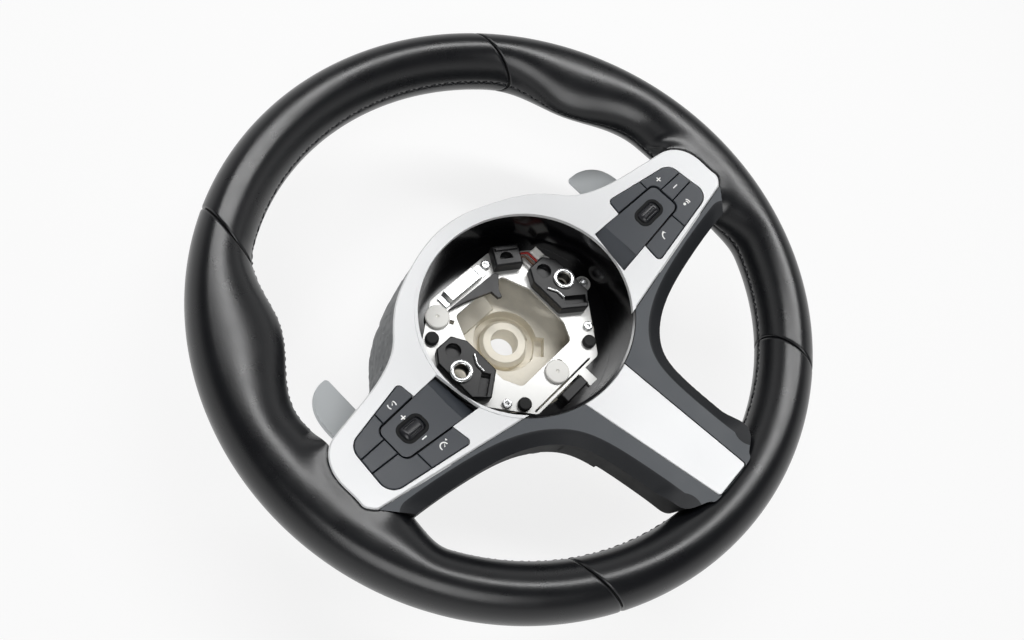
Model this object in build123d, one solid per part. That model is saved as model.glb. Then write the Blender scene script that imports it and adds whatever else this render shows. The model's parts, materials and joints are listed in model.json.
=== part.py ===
from build123d import *
import os
from math import atan, cos, hypot, pi, radians, sin

# Car steering wheel on its back: shaft axis on Z, driver's side up, 12 o'clock at +Y, 3 o'clock at +X.
# The origin is on the shaft bore's axis, in the hub's rear seat face. Millimetres.

# Rim and grip
RIM_OUTER_R = 185.0          # outside of the leather
GRIP_HALF_WIDTH = 15.6       # across the grip, in the plane of the rim
GRIP_HALF_DEPTH = 18.5       # across the grip, along the shaft
RIM_HEIGHT = 86.0            # mid-plane of the rim above the hub seat
RIM_OFFSET_Y = 7.5           # the rim's centre lies above the shaft axis
LEATHER_T = 1.3
FOAM_GAP = 0.4               # glue line between foam and leather
SEAM_GAP = 0.5               # butt seam between two leather panels
TOP_SEAM_X = 105.0           # the seams lie in upright planes
BOTTOM_SEAM_X = 93.0
THUMB_ANGLE = 30.0           # degrees above 3 o'clock, where the thumb rest swells most
THUMB_SPREAD = 21.0
THUMB_SWELL = 16.4
ROOT_ANGLE = 1.0             # the grip also swells where the side spoke enters
ROOT_SPREAD = 30.0
ROOT_SWELL = 10.4

# Dished front: a cone round the shaft axis, from the hub opening up to the spokes' ends
HUB_EDGE_R = 66.0
DISH_RISE = 25.0             # from the hub opening to the spokes' ends
DISH_ABOVE_RIM = 16.0        # the spokes' ends above the rim's mid-plane
HUB_OPENING_HALF_W = 69.0
HUB_OPENING_HALF_H = 64.2
HUB_OPENING_Y = -2.6         # the opening's centre lies below the shaft axis
HUB_LIP_W = 2.0              # raised edge of the trim round the opening
HUB_LIP_RISE = 0.5

# Front trims and covers
TRIM_T = 2.2
TRIM_EDGE = 0.9              # bevel along the trims' outer edges
PANEL_GAP = 0.4              # between trims, covers and leather
TRIM_BAND_W = 9.0            # trim above the hub opening
TRIM_FOOT_X = 44.0           # the trim's lower edges run into the hub opening
TRIM_FOOT_Y = -48.9
TRIM_END_INSET = 17.0        # spoke trim's end, inwards from the rim's centre line
LOWER_BAR_HUB_HALF_W = 19.4
LOWER_BAR_RIM_HALF_W = 12.4
LOWER_BAR_END_INSET = 11.0   # lower bar's end, inwards from the rim's centre line
LOWER_BAR_CORNER_R = 2.0
BAR_POCKET_GAP = 0.1         # between the bar's back and its pocket
COVER_T = 2.5
LOWER_COVER_DEPTH = 22.0
LOWER_ARM_HALF_W = 33.0

# Switch pods
KEY_GAP = 0.6
KEY_PANEL_GAP = 1.1          # between the keys and the centre panel
KEY_PROUD = 0.4              # key tops above the trim
KEY_DEPTH = 6.4              # key bodies below the trim
KEY_EDGE_R = 0.4             # rounding of the key tops' edges
KEY_TRAVEL = 0.8
KEY_UNDER_GAP = 0.8          # left under a pressed key
KEY_CORNER_R = 2.4
KEY_END_R = 8.5              # the key field's corners next to the rim
KEY_STEM_R = 1.5
STEM_CLEARANCE = 0.3
POD_OUT_INSET = 31.2         # outer end of the key field, inwards from the rim's centre line
POD_OUT_REACH = 33.7         # from the roller's middle to the key field's outer end
POD_LIP = 1.4                # housing wall under the trim's opening
POD_FLOOR_T = 5.0
POD_TOP_GAP = 0.3            # between the trims' backs and what stands under them
PANEL_OUT_INSET = 18.7       # centre panel's outer end, inwards from the key field's end
PANEL_HUB_GAP = 2.5          # from the hub opening to the panel's hub end
PANEL_CORNER_R = 4.0
PANEL_SUNK = 0.2
PANEL_FOLD = 24.0            # the panel bends down towards the hub
PANEL_FOLD_W = 10.5
ROLLER_R = 6.5
ROLLER_LENGTH = 15.0
ROLLER_PROUD = 1.3
ROLLER_Y = -10.0
ROLLER_AXLE_R = 1.2
ROLLER_AXLE_LENGTH = 1.4
ROLLER_END_GAP = 0.5
ROLLER_END_R = 3.0           # rounding of the barrel's ends
AXLE_CLEARANCE = 0.08
ROLLER_RIBS = 18
ROLLER_RIB_DEPTH = 0.45
ROLLER_GROOVE_R = 0.7
ROCKER_GROOVE_ANGLE = 24.0   # the rocker has two grooves only

# Cast armature
BORE_R = 9.6
BOSS_R = 14.8
BOSS_FOOT_R = 20.0
BOSS_TOP = 17.4
MOAT_R = 22.0
MOAT_FLOOR = 10.0
FLOOR_TOP = 20.0
FLOOR_BOTTOM = 6.0
FLOOR_R = 52.0
RIM_ROD_HALF_W = 5.5
RIM_ROD_HALF_H = 6.5
SPOKE_W = 22.0
SPOKE_T = 8.0
SPOKE_Y = -9.5
SPOKE_ROOT_X = 64.0          # where a side spoke leaves the hub floor
SPOKE_KNEE_INSET = 4.5       # bend behind the switches, inwards from the roller's middle
SPOKE_DROP = 13.8            # bend below the switch housing
SPOKE_END_REACH = 12.0       # bend next to the rim, outwards from the key field
SPOKE_END_DROP = 0.8
LOWER_SPOKE_W = 28.0
FLANGE_TOP = 33.0
FLANGE_T = 4.0
BOSS_BEVEL = 2.6
CAST_GAP = 0.4               # foam, leather and covers round the casting

# Hub bay
LINER_T = 1.5
LINER_LEDGE_W = 12.0
LINER_LEDGE_T = 2.0
PLATE_TOP = 42.0
PLATE_T = 2.0
PLATE_CORNER_R = 4.0
POST_R = 5.0
POST_PLACES = [(19, 44), (40, -33), (-40, -33), (61.5, -9.5), (-61.5, -9.5)]
BUFFER_PLACES = [(32, -41), (-32, -41), (-45, 29.5)]
PAD_PLACES = [(0, -40.5), (-32, 38)]
SQUARE_HOLES = [(7, -37), (-27, 29.5)]
EAR_R = 5.6
LATCH_X = 49.0
LATCH_Y = 0.5
LATCH_H = 8.0
LATCH_TOP_Y = 21.5           # the leads enter the right latch block here
SOCKET_R = 4.75
SOCKET_RING_R = 7.2
SOCKET_RING_H = 1.2
BUFFER_R = 4.4
BUFFER_H = 3.5
PAD_R = 8.0
PAD_H = 2.4
CONNECTOR_X = 32.0
CONNECTOR_Y = 38.0
CONNECTOR_TURN = -32.0
CONNECTOR_W = 19.0
CONNECTOR_H = 9.0
WIRE_R = 0.8
WIRE_HEIGHT = 5.0            # leads above the plate

# Rear cover
REAR_WALL = 2.5
REAR_FOOT_R = 60.0
REAR_HOLE_R = 44.0
REAR_SHOULDER_HEIGHT = 41.0
REAR_BULGE = 3.5               # how far the bowl swells out past its shoulder
REAR_TOP_RISE = 15.0           # the bowl is drawn higher than the hub's edge and cut back under the front
SCREW_R = 1.6
SCREW_HEAD_R = 3.2
SCREW_HEAD_H = 2.2
SCREW_CIRCLE_R = 48.5
SCREW_CLEARANCE = 0.3
SCREW_FIT = 0.05
SCREW_LENGTH = 9.0
HEX_R = 1.6
HEX_DEPTH = 1.8
REAR_SCREW_SUNK = 0.6

# Shift paddles
PADDLE_T = 3.0
PADDLE_TILT = 27.0
PADDLE_OUT = 7.0             # blade's inner edge, outwards from the roller's middle
PADDLE_REACH = 19.5          # from the pivot to the blade
PADDLE_UNDER = 6.14          # pivot below the spoke's upper face
PADDLE_PIN_R = 1.5
PADDLE_BARREL_R = 3.8
PADDLE_PULL = 5.0            # degrees
PADDLE_ARM_Y = 12.0
PADDLE_ARM_W = 11.0
PADDLE_EAR_T = 3.0
PADDLE_EAR_R = 5.5
PADDLE_SIDE_GAP = 0.4
PADDLE_SLOT_LENGTH = 22.0
PADDLE_SLOT_GAP = 0.6        # left at the end of the pull
BRIDGE_W = 5.0
BRIDGE_GAP = 1.2             # between the barrel and the bracket's bridge

RIM_R = RIM_OUTER_R - GRIP_HALF_WIDTH
TRIM_END_X = RIM_R - TRIM_END_INSET
POD_OUT_X = RIM_R - POD_OUT_INSET
POD_X = POD_OUT_X - POD_OUT_REACH
POD_FLOOR = KEY_DEPTH + KEY_TRAVEL + KEY_UNDER_GAP
POD_BOTTOM = POD_FLOOR + POD_FLOOR_T
HUB_EDGE_HEIGHT = RIM_HEIGHT + DISH_ABOVE_RIM - DISH_RISE
DISH_SLOPE = DISH_RISE / (TRIM_END_X - HUB_EDGE_R)
POD_TILT = atan(DISH_SLOPE)
PADDLE_INNER_X = POD_X + PADDLE_OUT
PADDLE_PIVOT_X = PADDLE_INNER_X - PADDLE_REACH
FAR = 400.0


def dish_height(r):
    return HUB_EDGE_HEIGHT + (r - HUB_EDGE_R) * DISH_SLOPE


def dish_layer(top, bottom):
    """Conical layer between two heights measured from the dished front face."""
    near = 25.0
    far = RIM_OUTER_R + 40.0
    profile = Plane.XZ * Polygon(
        (near, dish_height(near) + top),
        (far, dish_height(far) + top),
        (far, dish_height(far) + bottom),
        (near, dish_height(near) + bottom),
        align=None,
    )
    return revolve(profile, Axis.Z)


def upright(face):
    """Prism through the whole height over a plan outline."""
    return extrude(face, amount=FAR, dir=(0, 0, 1), both=True)


def on_front(face, top, bottom):
    """A plan outline cut out of a conical layer of the front."""
    return upright(face) & dish_layer(top, bottom)


def outline(curves):
    """Face inside closed curves, looking up."""
    face = make_face(curves).face()
    return Sketch() + (face if face.normal_at().Z > 0 else -face)


def both_sides(half):
    """Face from the right half of an outline that is mirrored about the YZ plane."""
    return outline(half + mirror(half, about=Plane.YZ))


def left_of(solid):
    return mirror(solid, about=Plane.YZ)


def pushed_out(points, distance):
    """Points of a clockwise half outline moved outwards; those on the mirror line stay on it."""
    moved = []
    for i, (x, y) in enumerate(points):
        before = points[max(i - 1, 0)]
        after = points[min(i + 1, len(points) - 1)]
        dx, dy = after[0] - before[0], after[1] - before[1]
        step = distance / hypot(dx, dy)
        moved.append((x - step * dy if x else 0, y + step * dx))
    return moved


# Plan outlines


def hub_opening(grow=0.0):
    return Pos(0, HUB_OPENING_Y) * Ellipse(HUB_OPENING_HALF_W + grow, HUB_OPENING_HALF_H + grow)


def spoke_trim_outline(grow=0.0):
    """Both side spokes and the band over the hub opening."""
    band_top = HUB_OPENING_Y + HUB_OPENING_HALF_H + TRIM_BAND_W
    end = TRIM_END_X
    points = [
        (0, band_top),
        (38, band_top - 8.6),
        (57, band_top - 18),
        (70, band_top - 29),
        (80, band_top - 39),
        (96, band_top - 47.4),
        (end - 32, 16.6),
        (end - 15, 12.8),
        (end - 5.5, 7.2),
        (end - 0.4, -6),
        (end - 0.6, -20),
        (end - 5, -29.6),
        (TRIM_FOOT_X, TRIM_FOOT_Y),
        (0, TRIM_FOOT_Y),
    ]
    if grow:
        points = pushed_out(points, grow)
    shoulder = Spline(*points[:7], tangents=[(1, 0), (1, -0.22)])
    upper = Line(points[6], points[7])
    round_end = Spline(*points[7:12], tangents=[(1, -0.22), (-0.75, -0.66)])
    lower = Polyline(*points[11:])
    return both_sides(shoulder + upper + round_end + lower)


def lower_bar_outline(grow=0.0):
    hub_end = HUB_OPENING_Y - 0.85 * HUB_OPENING_HALF_H
    rim_end = RIM_OFFSET_Y - RIM_R + LOWER_BAR_END_INSET
    wide = LOWER_BAR_HUB_HALF_W + grow
    narrow = LOWER_BAR_RIM_HALF_W + grow
    corners = Polygon(
        (-wide, hub_end),
        (-narrow, rim_end - grow),
        (narrow, rim_end - grow),
        (wide, hub_end),
        align=None,
    )
    ends = corners.vertices().sort_by(Axis.Y)[:2]
    return fillet(ends, LOWER_BAR_CORNER_R) - hub_opening(LINER_T + PANEL_GAP - grow)


def lower_y_outline(inset=0.0):
    """A wide Y from the side spokes down to the rim."""
    end = TRIM_END_X - 5 - inset
    arm = LOWER_ARM_HALF_W - inset
    foot = RIM_OFFSET_Y - RIM_R + LOWER_BAR_END_INSET - 0.6
    top = Line((0, -30), (end, -30))
    rim_side = Line((end, -30), (end - 12, -44 + inset))
    sweep = Spline(
        (end - 12, -44 + inset),
        (100, -49.5 + inset),
        (75 - 0.3 * inset, -56 + inset),
        (58 - 0.7 * inset, -64 + 0.7 * inset),
        (arm + 9, -79.5 + 0.2 * inset),
        (arm + 3.5, -97),
        (arm + 0.8, -121),
        (arm, -136),
        tangents=[(-1, -0.1), (-0.02, -1)],
    )
    corner = Spline(
        (arm, -136),
        (arm - 2, -142 + inset),
        (arm - 13, foot + 3.4 + inset),
        (0, foot + inset),
        tangents=[(0, -1), (-1, 0)],
    )
    return both_sides(top + rim_side + sweep + corner)


def lower_cover_outline(grow=0.0):
    """Dark cover: the Y below the lower edge of the trim and the hub opening."""
    return lower_y_outline(-grow) - spoke_trim_outline(PANEL_GAP) - hub_opening(LINER_T + PANEL_GAP)


# Rim


SIDE_ANGLES = [64, 57, 51, 45, 38, 30, 22, 14, 5, -5, -16, -28, -38, -50, -62, -74]
TOP_HALF = [22, 30, 38, 45, 51, 57, 64, 77]
TOP_ANGLES = TOP_HALF + [90] + [180 - a for a in reversed(TOP_HALF)]


def grip_reach(angle):
    """How far the grip reaches inwards from the rim's centre line, at an angle from 3 o'clock."""
    from_side = 180 - angle if angle > 90 else angle

    def swell(centre, spread):
        away = abs(from_side - centre) / spread
        return 0.5 * (1 + cos(pi * away)) if away < 1 else 0.0

    thumb = THUMB_SWELL * swell(THUMB_ANGLE, THUMB_SPREAD)
    root = ROOT_SWELL * swell(ROOT_ANGLE, ROOT_SPREAD)
    return GRIP_HALF_WIDTH + thumb + root


def grip_section(angle, inner, outer, half_depth):
    """Two half ellipses, in the upright plane at an angle round the rim."""
    a = radians(angle)
    outside = EllipticalCenterArc((RIM_R, 0), outer, half_depth, -90, arc_size=180)
    inside = EllipticalCenterArc((RIM_R, 0), inner, half_depth, 90, arc_size=180)
    plane = Plane(
        origin=(0, RIM_OFFSET_Y, RIM_HEIGHT),
        x_dir=(cos(a), sin(a), 0),
        z_dir=(sin(a), -cos(a), 0),
    )
    return plane * make_face(outside + inside)


def plain_grip(shrink, start, arc):
    """Grip of constant section, from an angle, counter-clockwise."""
    section = grip_section(
        start, GRIP_HALF_WIDTH - shrink, GRIP_HALF_WIDTH - shrink, GRIP_HALF_DEPTH - shrink
    )
    return revolve(section, Axis((0, RIM_OFFSET_Y, 0), (0, 0, 1)), arc)


def shaped_grip(shrink, angles):
    """Grip with its thumb rests and spoke roots, through sections at these angles."""
    sections = [
        grip_section(a, grip_reach(a) - shrink, GRIP_HALF_WIDTH - shrink, GRIP_HALF_DEPTH - shrink)
        for a in angles
    ]
    return loft(sections)


def seam_block(x, sign):
    """Everything between the two seam planes, above or below the rim's centre."""
    return Pos(0, RIM_OFFSET_Y + sign * FAR / 2, RIM_HEIGHT) * Box(2 * x, FAR, FAR)


def spoke_rebate():
    """Room for the trims' and covers' ends in the leather and foam, with the armature's spokes."""
    trim = spoke_trim_outline(PANEL_GAP)
    bar = lower_bar_outline(PANEL_GAP)
    cover = lower_cover_outline(PANEL_GAP)
    depth = COVER_T + PANEL_GAP
    ends = on_front(trim, FAR / 4, -depth) + on_front(bar, FAR / 4, -depth)
    return [ends, on_front(cover, FAR / 4, -depth), armature_spokes(CAST_GAP)]


def leather_panels(rebate):
    half_gap = SEAM_GAP / 2
    top = shaped_grip(0, TOP_ANGLES) - shaped_grip(LEATHER_T, TOP_ANGLES)
    bottom = plain_grip(0, 210, 120) - plain_grip(LEATHER_T, 209, 122)
    bottom &= seam_block(BOTTOM_SEAM_X - half_gap, -1)
    side = shaped_grip(0, SIDE_ANGLES) - shaped_grip(LEATHER_T, SIDE_ANGLES)
    side -= seam_block(TOP_SEAM_X + half_gap, 1)
    side -= seam_block(BOTTOM_SEAM_X + half_gap, -1)
    for block in rebate:
        side -= block
        bottom -= block
    side = side.solids().sort_by(SortBy.VOLUME)[-1]
    return {
        "leather_top": top & seam_block(TOP_SEAM_X - half_gap, 1),
        "leather_bottom": bottom,
        "leather_right": side,
        "leather_left": left_of(side),
    }


def rim_foam(rebate):
    """Ring of plain section with the thumb rests and spoke roots let into it."""
    shrink = LEATHER_T + FOAM_GAP
    ring = plain_grip(shrink, 0, 360)
    let_in = 4.0
    swell = loft([
        grip_section(
            a,
            grip_reach(a) - shrink - FOAM_GAP / 2,
            GRIP_HALF_WIDTH - shrink - let_in,
            GRIP_HALF_DEPTH - shrink - let_in / 6,
        )
        for a in SIDE_ANGLES
    ])
    swell -= seam_block(BOTTOM_SEAM_X, -1)
    ring += swell
    ring += left_of(swell)
    for block in rebate:
        ring -= block
    return ring - rim_rod()


# Armature


def rim_rod():
    """Oval rod inside the rim."""
    section = grip_section(0, RIM_ROD_HALF_W, RIM_ROD_HALF_W, RIM_ROD_HALF_H)
    return revolve(section, Axis((0, RIM_OFFSET_Y, 0), (0, 0, 1)))


def side_spoke_profile(grow=0.0):
    """Side view of a side spoke: out of the hub floor, up behind the switches, into the rim rod."""
    hub = FLOOR_R / 2
    end = RIM_R - RIM_ROD_HALF_W / 2
    knee, knee_z = spoke_knee()
    last = POD_OUT_X + SPOKE_END_REACH
    last_z = dish_height(last) - POD_BOTTOM - SPOKE_END_DROP
    top = [
        (hub, FLOOR_TOP),
        (SPOKE_ROOT_X, FLOOR_TOP),
        (knee, knee_z),
        (last, last_z),
        (end, RIM_HEIGHT + SPOKE_T / 2),
    ]
    under = [
        (end, RIM_HEIGHT - SPOKE_T / 2),
        (last + 2, last_z - SPOKE_T),
        (knee + 4, knee_z - SPOKE_T),
        (SPOKE_ROOT_X + 5, FLOOR_TOP - SPOKE_T),
        (hub, FLOOR_TOP - SPOKE_T),
    ]
    return grown(Polygon(*top, *under, align=None), grow)


def spoke_knee():
    """Bend of a side spoke's upper face, behind the switches."""
    x = POD_X - SPOKE_KNEE_INSET
    return x, dish_height(x) - POD_BOTTOM - SPOKE_DROP


def grown(face, distance):
    return offset(face, distance) if distance else face


def lower_spoke_profile(grow=0.0):
    hub = -FLOOR_R / 2
    end = RIM_OFFSET_Y - RIM_R + RIM_ROD_HALF_W / 2
    last = end + 17
    top = [(hub, FLOOR_TOP), (-60, FLOOR_TOP), (-98, 66), (last, RIM_HEIGHT), (end, RIM_HEIGHT + SPOKE_T / 2)]
    under = [
        (end, RIM_HEIGHT - SPOKE_T / 2),
        (last - 2, RIM_HEIGHT - SPOKE_T - 1),
        (-102, 66 - SPOKE_T - 1),
        (-65, FLOOR_TOP - SPOKE_T - 1),
        (hub, FLOOR_TOP - SPOKE_T - 1),
    ]
    return grown(Polygon(*top, *under, align=None), grow)


def armature_spokes(grow=0.0):
    width = SPOKE_W / 2 + grow
    side = extrude(Plane.XZ * side_spoke_profile(grow), amount=width, both=True)
    side = Pos(0, SPOKE_Y, 0) * side
    lower = extrude(Plane.YZ * lower_spoke_profile(grow), amount=LOWER_SPOKE_W / 2 + grow, both=True)
    return side + left_of(side) + lower


def rear_screw_places():
    return [loc.position for loc in PolarLocations(SCREW_CIRCLE_R, 3, 60)]


def armature():
    floor = extrude(Circle(FLOOR_R), amount=FLOOR_TOP - FLOOR_BOTTOM)
    floor = Pos(0, 0, FLOOR_BOTTOM) * floor
    moat = Pos(0, 0, MOAT_FLOOR) * extrude(Circle(MOAT_R), amount=FAR)
    foot = extrude(Circle(BOSS_FOOT_R), amount=MOAT_FLOOR)
    boss = extrude(Circle(BOSS_R + BOSS_BEVEL), amount=BOSS_TOP)
    boss = chamfer(boss.edges().group_by(Axis.Z)[-1], BOSS_BEVEL)
    flange_ring = Circle(FLOOR_R - 1) - Circle(FLOOR_R - 1 - FLANGE_T)
    flange_ring &= Pos(-4, FLOOR_R) * Rectangle(70, 50)
    flange = Pos(0, 0, FLOOR_TOP - 1) * extrude(flange_ring, amount=FLANGE_TOP - FLOOR_TOP + 1)
    ramp_side = Polygon(
        (22, FLOOR_TOP - 1),
        (46, FLOOR_TOP - 1),
        (46, FLANGE_TOP - 3),
        (40, FLANGE_TOP - 3),
        (22, FLOOR_TOP + 2),
        align=None,
    )
    ramp = Pos(-8, 0, 0) * extrude(Plane.YZ * ramp_side, amount=18, both=True)
    pocket = Pos(13, -17, FLOOR_TOP) * Rot(0, 0, 42) * Box(14, 12, 14)
    body = floor - moat + foot + boss + flange + ramp + armature_spokes() - pocket
    for x, y in POST_PLACES:
        post = Pos(x, y, FLOOR_TOP - 1) * extrude(Circle(POST_R), amount=PLATE_TOP - PLATE_T - FLOOR_TOP + 1)
        hole = Pos(x, y, PLATE_TOP - SCREW_LENGTH - 1) * extrude(Circle(SCREW_R), amount=FAR)
        body = body + post - hole
    for place in rear_screw_places():
        depth = REAR_SCREW_SUNK + SCREW_HEAD_H + SCREW_LENGTH + 1
        body -= Pos(place.X, place.Y, 0) * extrude(Circle(SCREW_R), amount=depth)
    body += rim_rod()
    return body - extrude(Circle(BORE_R), amount=FAR, both=True)


# Front trims and covers


def spoke_trim():
    wings = on_front(spoke_trim_outline(), 0, -TRIM_T)
    top = wings.faces().sort_by(SortBy.AREA)[-2:].sort_by(Axis.Z)[-1]
    wings = chamfer(top.outer_wire().edges(), TRIM_EDGE) - upright(hub_opening())
    ring = (hub_opening(HUB_LIP_W) - hub_opening()) & spoke_trim_outline()
    body = wings + on_front(ring, HUB_LIP_RISE, -TRIM_T)
    window = pod_prism(pod_opening(KEY_GAP))
    return body - window - left_of(window)


def lower_spoke_trim():
    bar = on_front(lower_bar_outline(), 0, -TRIM_T)
    top = bar.faces().sort_by(SortBy.AREA)[-2:].sort_by(Axis.Z)[-1]
    return chamfer(top.outer_wire().edges(), TRIM_EDGE / 2)


def lower_cover():
    """Moulded shell, open at the back, with a pocket for the bright bar."""
    reach = RIM_R - GRIP_HALF_WIDTH - PANEL_GAP
    within_rim = Pos(0, RIM_OFFSET_Y) * Ellipse(reach - ROOT_SWELL / 2, reach)
    plan = lower_cover_outline()
    skirt = (plan & within_rim) - lower_y_outline(COVER_T) - rear_shoulder(-REAR_BULGE - PANEL_GAP)
    shell = on_front(plan, 0, -COVER_T) + on_front(skirt, -COVER_T / 2, -LOWER_COVER_DEPTH)
    shell += on_front(lower_bar_outline(2 * COVER_T) & plan & within_rim, -COVER_T / 2, -2 * COVER_T)
    return shell - on_front(lower_bar_outline(PANEL_GAP), FAR / 4, -TRIM_T - BAR_POCKET_GAP)


# Switch pods, drawn in the plane that touches the dish along the spoke


def pod_plane():
    return Plane(
        origin=(POD_X, 0, dish_height(POD_X)),
        x_dir=(cos(POD_TILT), 0, sin(POD_TILT)),
        z_dir=(-sin(POD_TILT), 0, cos(POD_TILT)),
    )


def pod_prism(face, top=20.0, bottom=-40.0):
    """Prism along the pod's normal between two heights."""
    return pod_plane() * (Pos(0, 0, bottom) * extrude(face, amount=top - bottom))


def along(x):
    """Distance along the tilted spoke for a plan position."""
    return (x - POD_X) / cos(POD_TILT)


def panel_outline(grow=0.0):
    """Centre panel: narrow tongue from the hub to past the roller."""
    outer = along(POD_OUT_X - PANEL_OUT_INSET) + grow
    hub = along(HUB_OPENING_HALF_W + PANEL_HUB_GAP) - grow
    corners = Polygon(
        (hub, 4 + grow),
        (hub - 4.7, -25 - grow),
        (outer, -20 - grow),
        (outer, 0.4 + grow),
        align=None,
    )
    return fillet(corners.vertices().sort_by(Axis.X)[-2:], PANEL_CORNER_R + grow)


def key_field(grow=0.0):
    """Outline of the five keys together."""
    end = along(POD_OUT_X)
    face = Polygon(
        (-19.2, -36.8),
        (end + 0.2, -28.2),
        (end - 2.4, 3.4),
        (-12.4, 13.5),
        (-16.8, -18),
        align=None,
    )
    by_height = face.vertices().sort_by(Axis.Y)
    face = fillet([by_height[0], by_height[-1]], KEY_CORNER_R)
    face = fillet(face.vertices().sort_by(Axis.X)[-2:], KEY_END_R)
    return grown(face, grow)


def pod_opening(grow=0.0):
    return key_field(grow) + panel_outline(grow)


def key_faces():
    """The key field, less the panel and the gaps between keys."""
    panel_end = along(POD_OUT_X - PANEL_OUT_INSET)
    outer_middle = (panel_end + along(POD_OUT_X)) / 2
    splits = [
        (panel_end - 4.9, 8, 90),
        (panel_end - 6.8, -28, 90),
        (outer_middle, -5.2, -2),
        (outer_middle, -14.8, 3),
    ]
    field = key_field() - panel_outline(KEY_PANEL_GAP)
    for x, y, turn in splits:
        field -= Pos(x, y) * Rot(0, 0, turn) * Rectangle(PANEL_OUT_INSET * 1.3, KEY_GAP)
    return field.faces()


KEY_NAMES = ("upper", "outer_upper", "outer_middle", "outer_lower", "lower")


def ordered_keys():
    """Key outlines from the upper key, round the outer end, to the lower one."""
    faces = sorted(key_faces(), key=lambda f: -f.center().Y)
    return dict(zip(KEY_NAMES, faces))


def keys():
    solids = {}
    for name, face in ordered_keys().items():
        cap = pod_prism(face) & dish_layer(KEY_PROUD, -KEY_DEPTH)
        top = max(cap.faces(), key=lambda side: side.normal_at().Z)
        cap = fillet(top.outer_wire().edges(), KEY_EDGE_R)
        place = face.center()
        reach = POD_FLOOR + POD_FLOOR_T / 2
        stem = pod_prism(Pos(place.X, place.Y) * Circle(KEY_STEM_R), -KEY_DEPTH / 2, -reach)
        solids[name] = cap + stem
    return solids


def switch_housing():
    """Tray behind the keys: a wall up to the trim, a floor with guides for the keys' stems."""
    plan = pod_opening(KEY_GAP + POD_LIP)
    tray = pod_prism(plan) & dish_layer(-TRIM_T - POD_TOP_GAP, -POD_BOTTOM)
    well = pod_prism(pod_opening(KEY_GAP / 2)) & dish_layer(FAR / 4, -POD_FLOOR)
    body = tray - well
    for face in ordered_keys().values():
        place = face.center()
        body -= pod_prism(Pos(place.X, place.Y) * Circle(KEY_STEM_R + STEM_CLEARANCE))
    liner_room = upright(hub_opening(LINER_T + PANEL_GAP))
    return body - roller_swing() - liner_room


def roller_axis_height():
    return ROLLER_PROUD - ROLLER_R


def roller_window():
    length = ROLLER_LENGTH + 2 * ROLLER_END_GAP
    width = 2 * ROLLER_R - 2
    return Pos(0, ROLLER_Y) * RectangleRounded(length, width, 0.4 * width)


def roller_swing():
    """Room in which the roller turns."""
    half = ROLLER_LENGTH / 2 + ROLLER_END_GAP
    room = extrude(Plane.YZ * Circle(ROLLER_R + ROLLER_END_GAP), amount=half, both=True)
    return pod_plane() * (Pos(0, ROLLER_Y, roller_axis_height()) * room)


def roller_axle_hole(r):
    length = ROLLER_LENGTH + 2 * (ROLLER_AXLE_LENGTH + ROLLER_END_GAP)
    bar = extrude(Plane.YZ * Circle(r), amount=length / 2, both=True)
    return pod_plane() * (Pos(0, ROLLER_Y, roller_axis_height()) * bar)


def centre_panel():
    """Panel with its roller window, folded down next to the hub."""
    body = pod_prism(panel_outline()) & dish_layer(-PANEL_SUNK, -POD_FLOOR + PANEL_SUNK)
    fold = Rot(0, -PANEL_FOLD, 0) * Box(40, 80, 20, align=(Align.MAX, Align.CENTER, Align.MIN))
    fold = pod_plane() * (Pos(along(HUB_OPENING_HALF_W + PANEL_FOLD_W), ROLLER_Y, 0) * fold)
    axle = roller_axle_hole(ROLLER_AXLE_R + AXLE_CLEARANCE)
    return body - pod_prism(roller_window()) - roller_swing() - axle - fold


def roller(ribbed):
    """Barrel on two stub axles, ribbed along its length where it is turned endlessly."""
    barrel = extrude(Plane.YZ * Circle(ROLLER_R), amount=ROLLER_LENGTH / 2, both=True)
    barrel = fillet(barrel.edges().filter_by(GeomType.CIRCLE), ROLLER_END_R)
    groove = extrude(Plane.YZ * Circle(ROLLER_GROOVE_R), amount=ROLLER_LENGTH / 2 - ROLLER_END_R, both=True)
    if ribbed:
        depth = ROLLER_RIB_DEPTH
        turns = [i * 360 / ROLLER_RIBS for i in range(ROLLER_RIBS)]
    else:
        depth = 2 * ROLLER_RIB_DEPTH
        turns = [-ROCKER_GROOVE_ANGLE, ROCKER_GROOVE_ANGLE]
    for turn in turns:
        barrel -= Rot(turn, 0, 0) * Pos(0, 0, ROLLER_R + ROLLER_GROOVE_R - depth) * groove
    return pod_plane() * (Pos(0, ROLLER_Y, roller_axis_height()) * barrel) + roller_axle_hole(ROLLER_AXLE_R)


# Hub bay


def hub_liner():
    """Black wall of the bay, flush with the lower cover, with a ledge that carries the module plate."""
    outside = hub_opening(LINER_T)
    bottom = PLATE_TOP - PLATE_T - LINER_LEDGE_T
    tube = Pos(0, 0, bottom) * extrude(outside - hub_opening(), amount=FAR)
    tube &= dish_layer(0, -FAR)
    tube -= on_front(spoke_trim_outline(PANEL_GAP), FAR / 4, -TRIM_T - POD_TOP_GAP)
    body = tube + Pos(0, 0, bottom) * extrude(outside - hub_opening(-LINER_LEDGE_W), amount=LINER_LEDGE_T)
    for x, y in POST_PLACES:
        body -= Pos(x, y, bottom - 1) * extrude(Circle(POST_R + PANEL_GAP), amount=LINER_LEDGE_T + 2)
    return body


def plate_outline():
    half = Polyline((0, 49.5), (27, 49.5), (53, 31), (58, 20), (58, -17), (48, -29), (30, -51.5), (0, -51.5))
    face = both_sides(half)
    face = fillet([v for v in face.vertices() if abs(v.X) > 1], PLATE_CORNER_R)
    for x, y in POST_PLACES[3:]:
        face += Pos(x, y) * Circle(EAR_R)
    return face


def plate_window():
    half = Polyline((0, 31), (22, 31), (30, 12), (30, -20), (24, -32), (0, -32))
    face = both_sides(half)
    return fillet([v for v in face.vertices() if abs(v.X) > 1], PLATE_CORNER_R)


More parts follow.
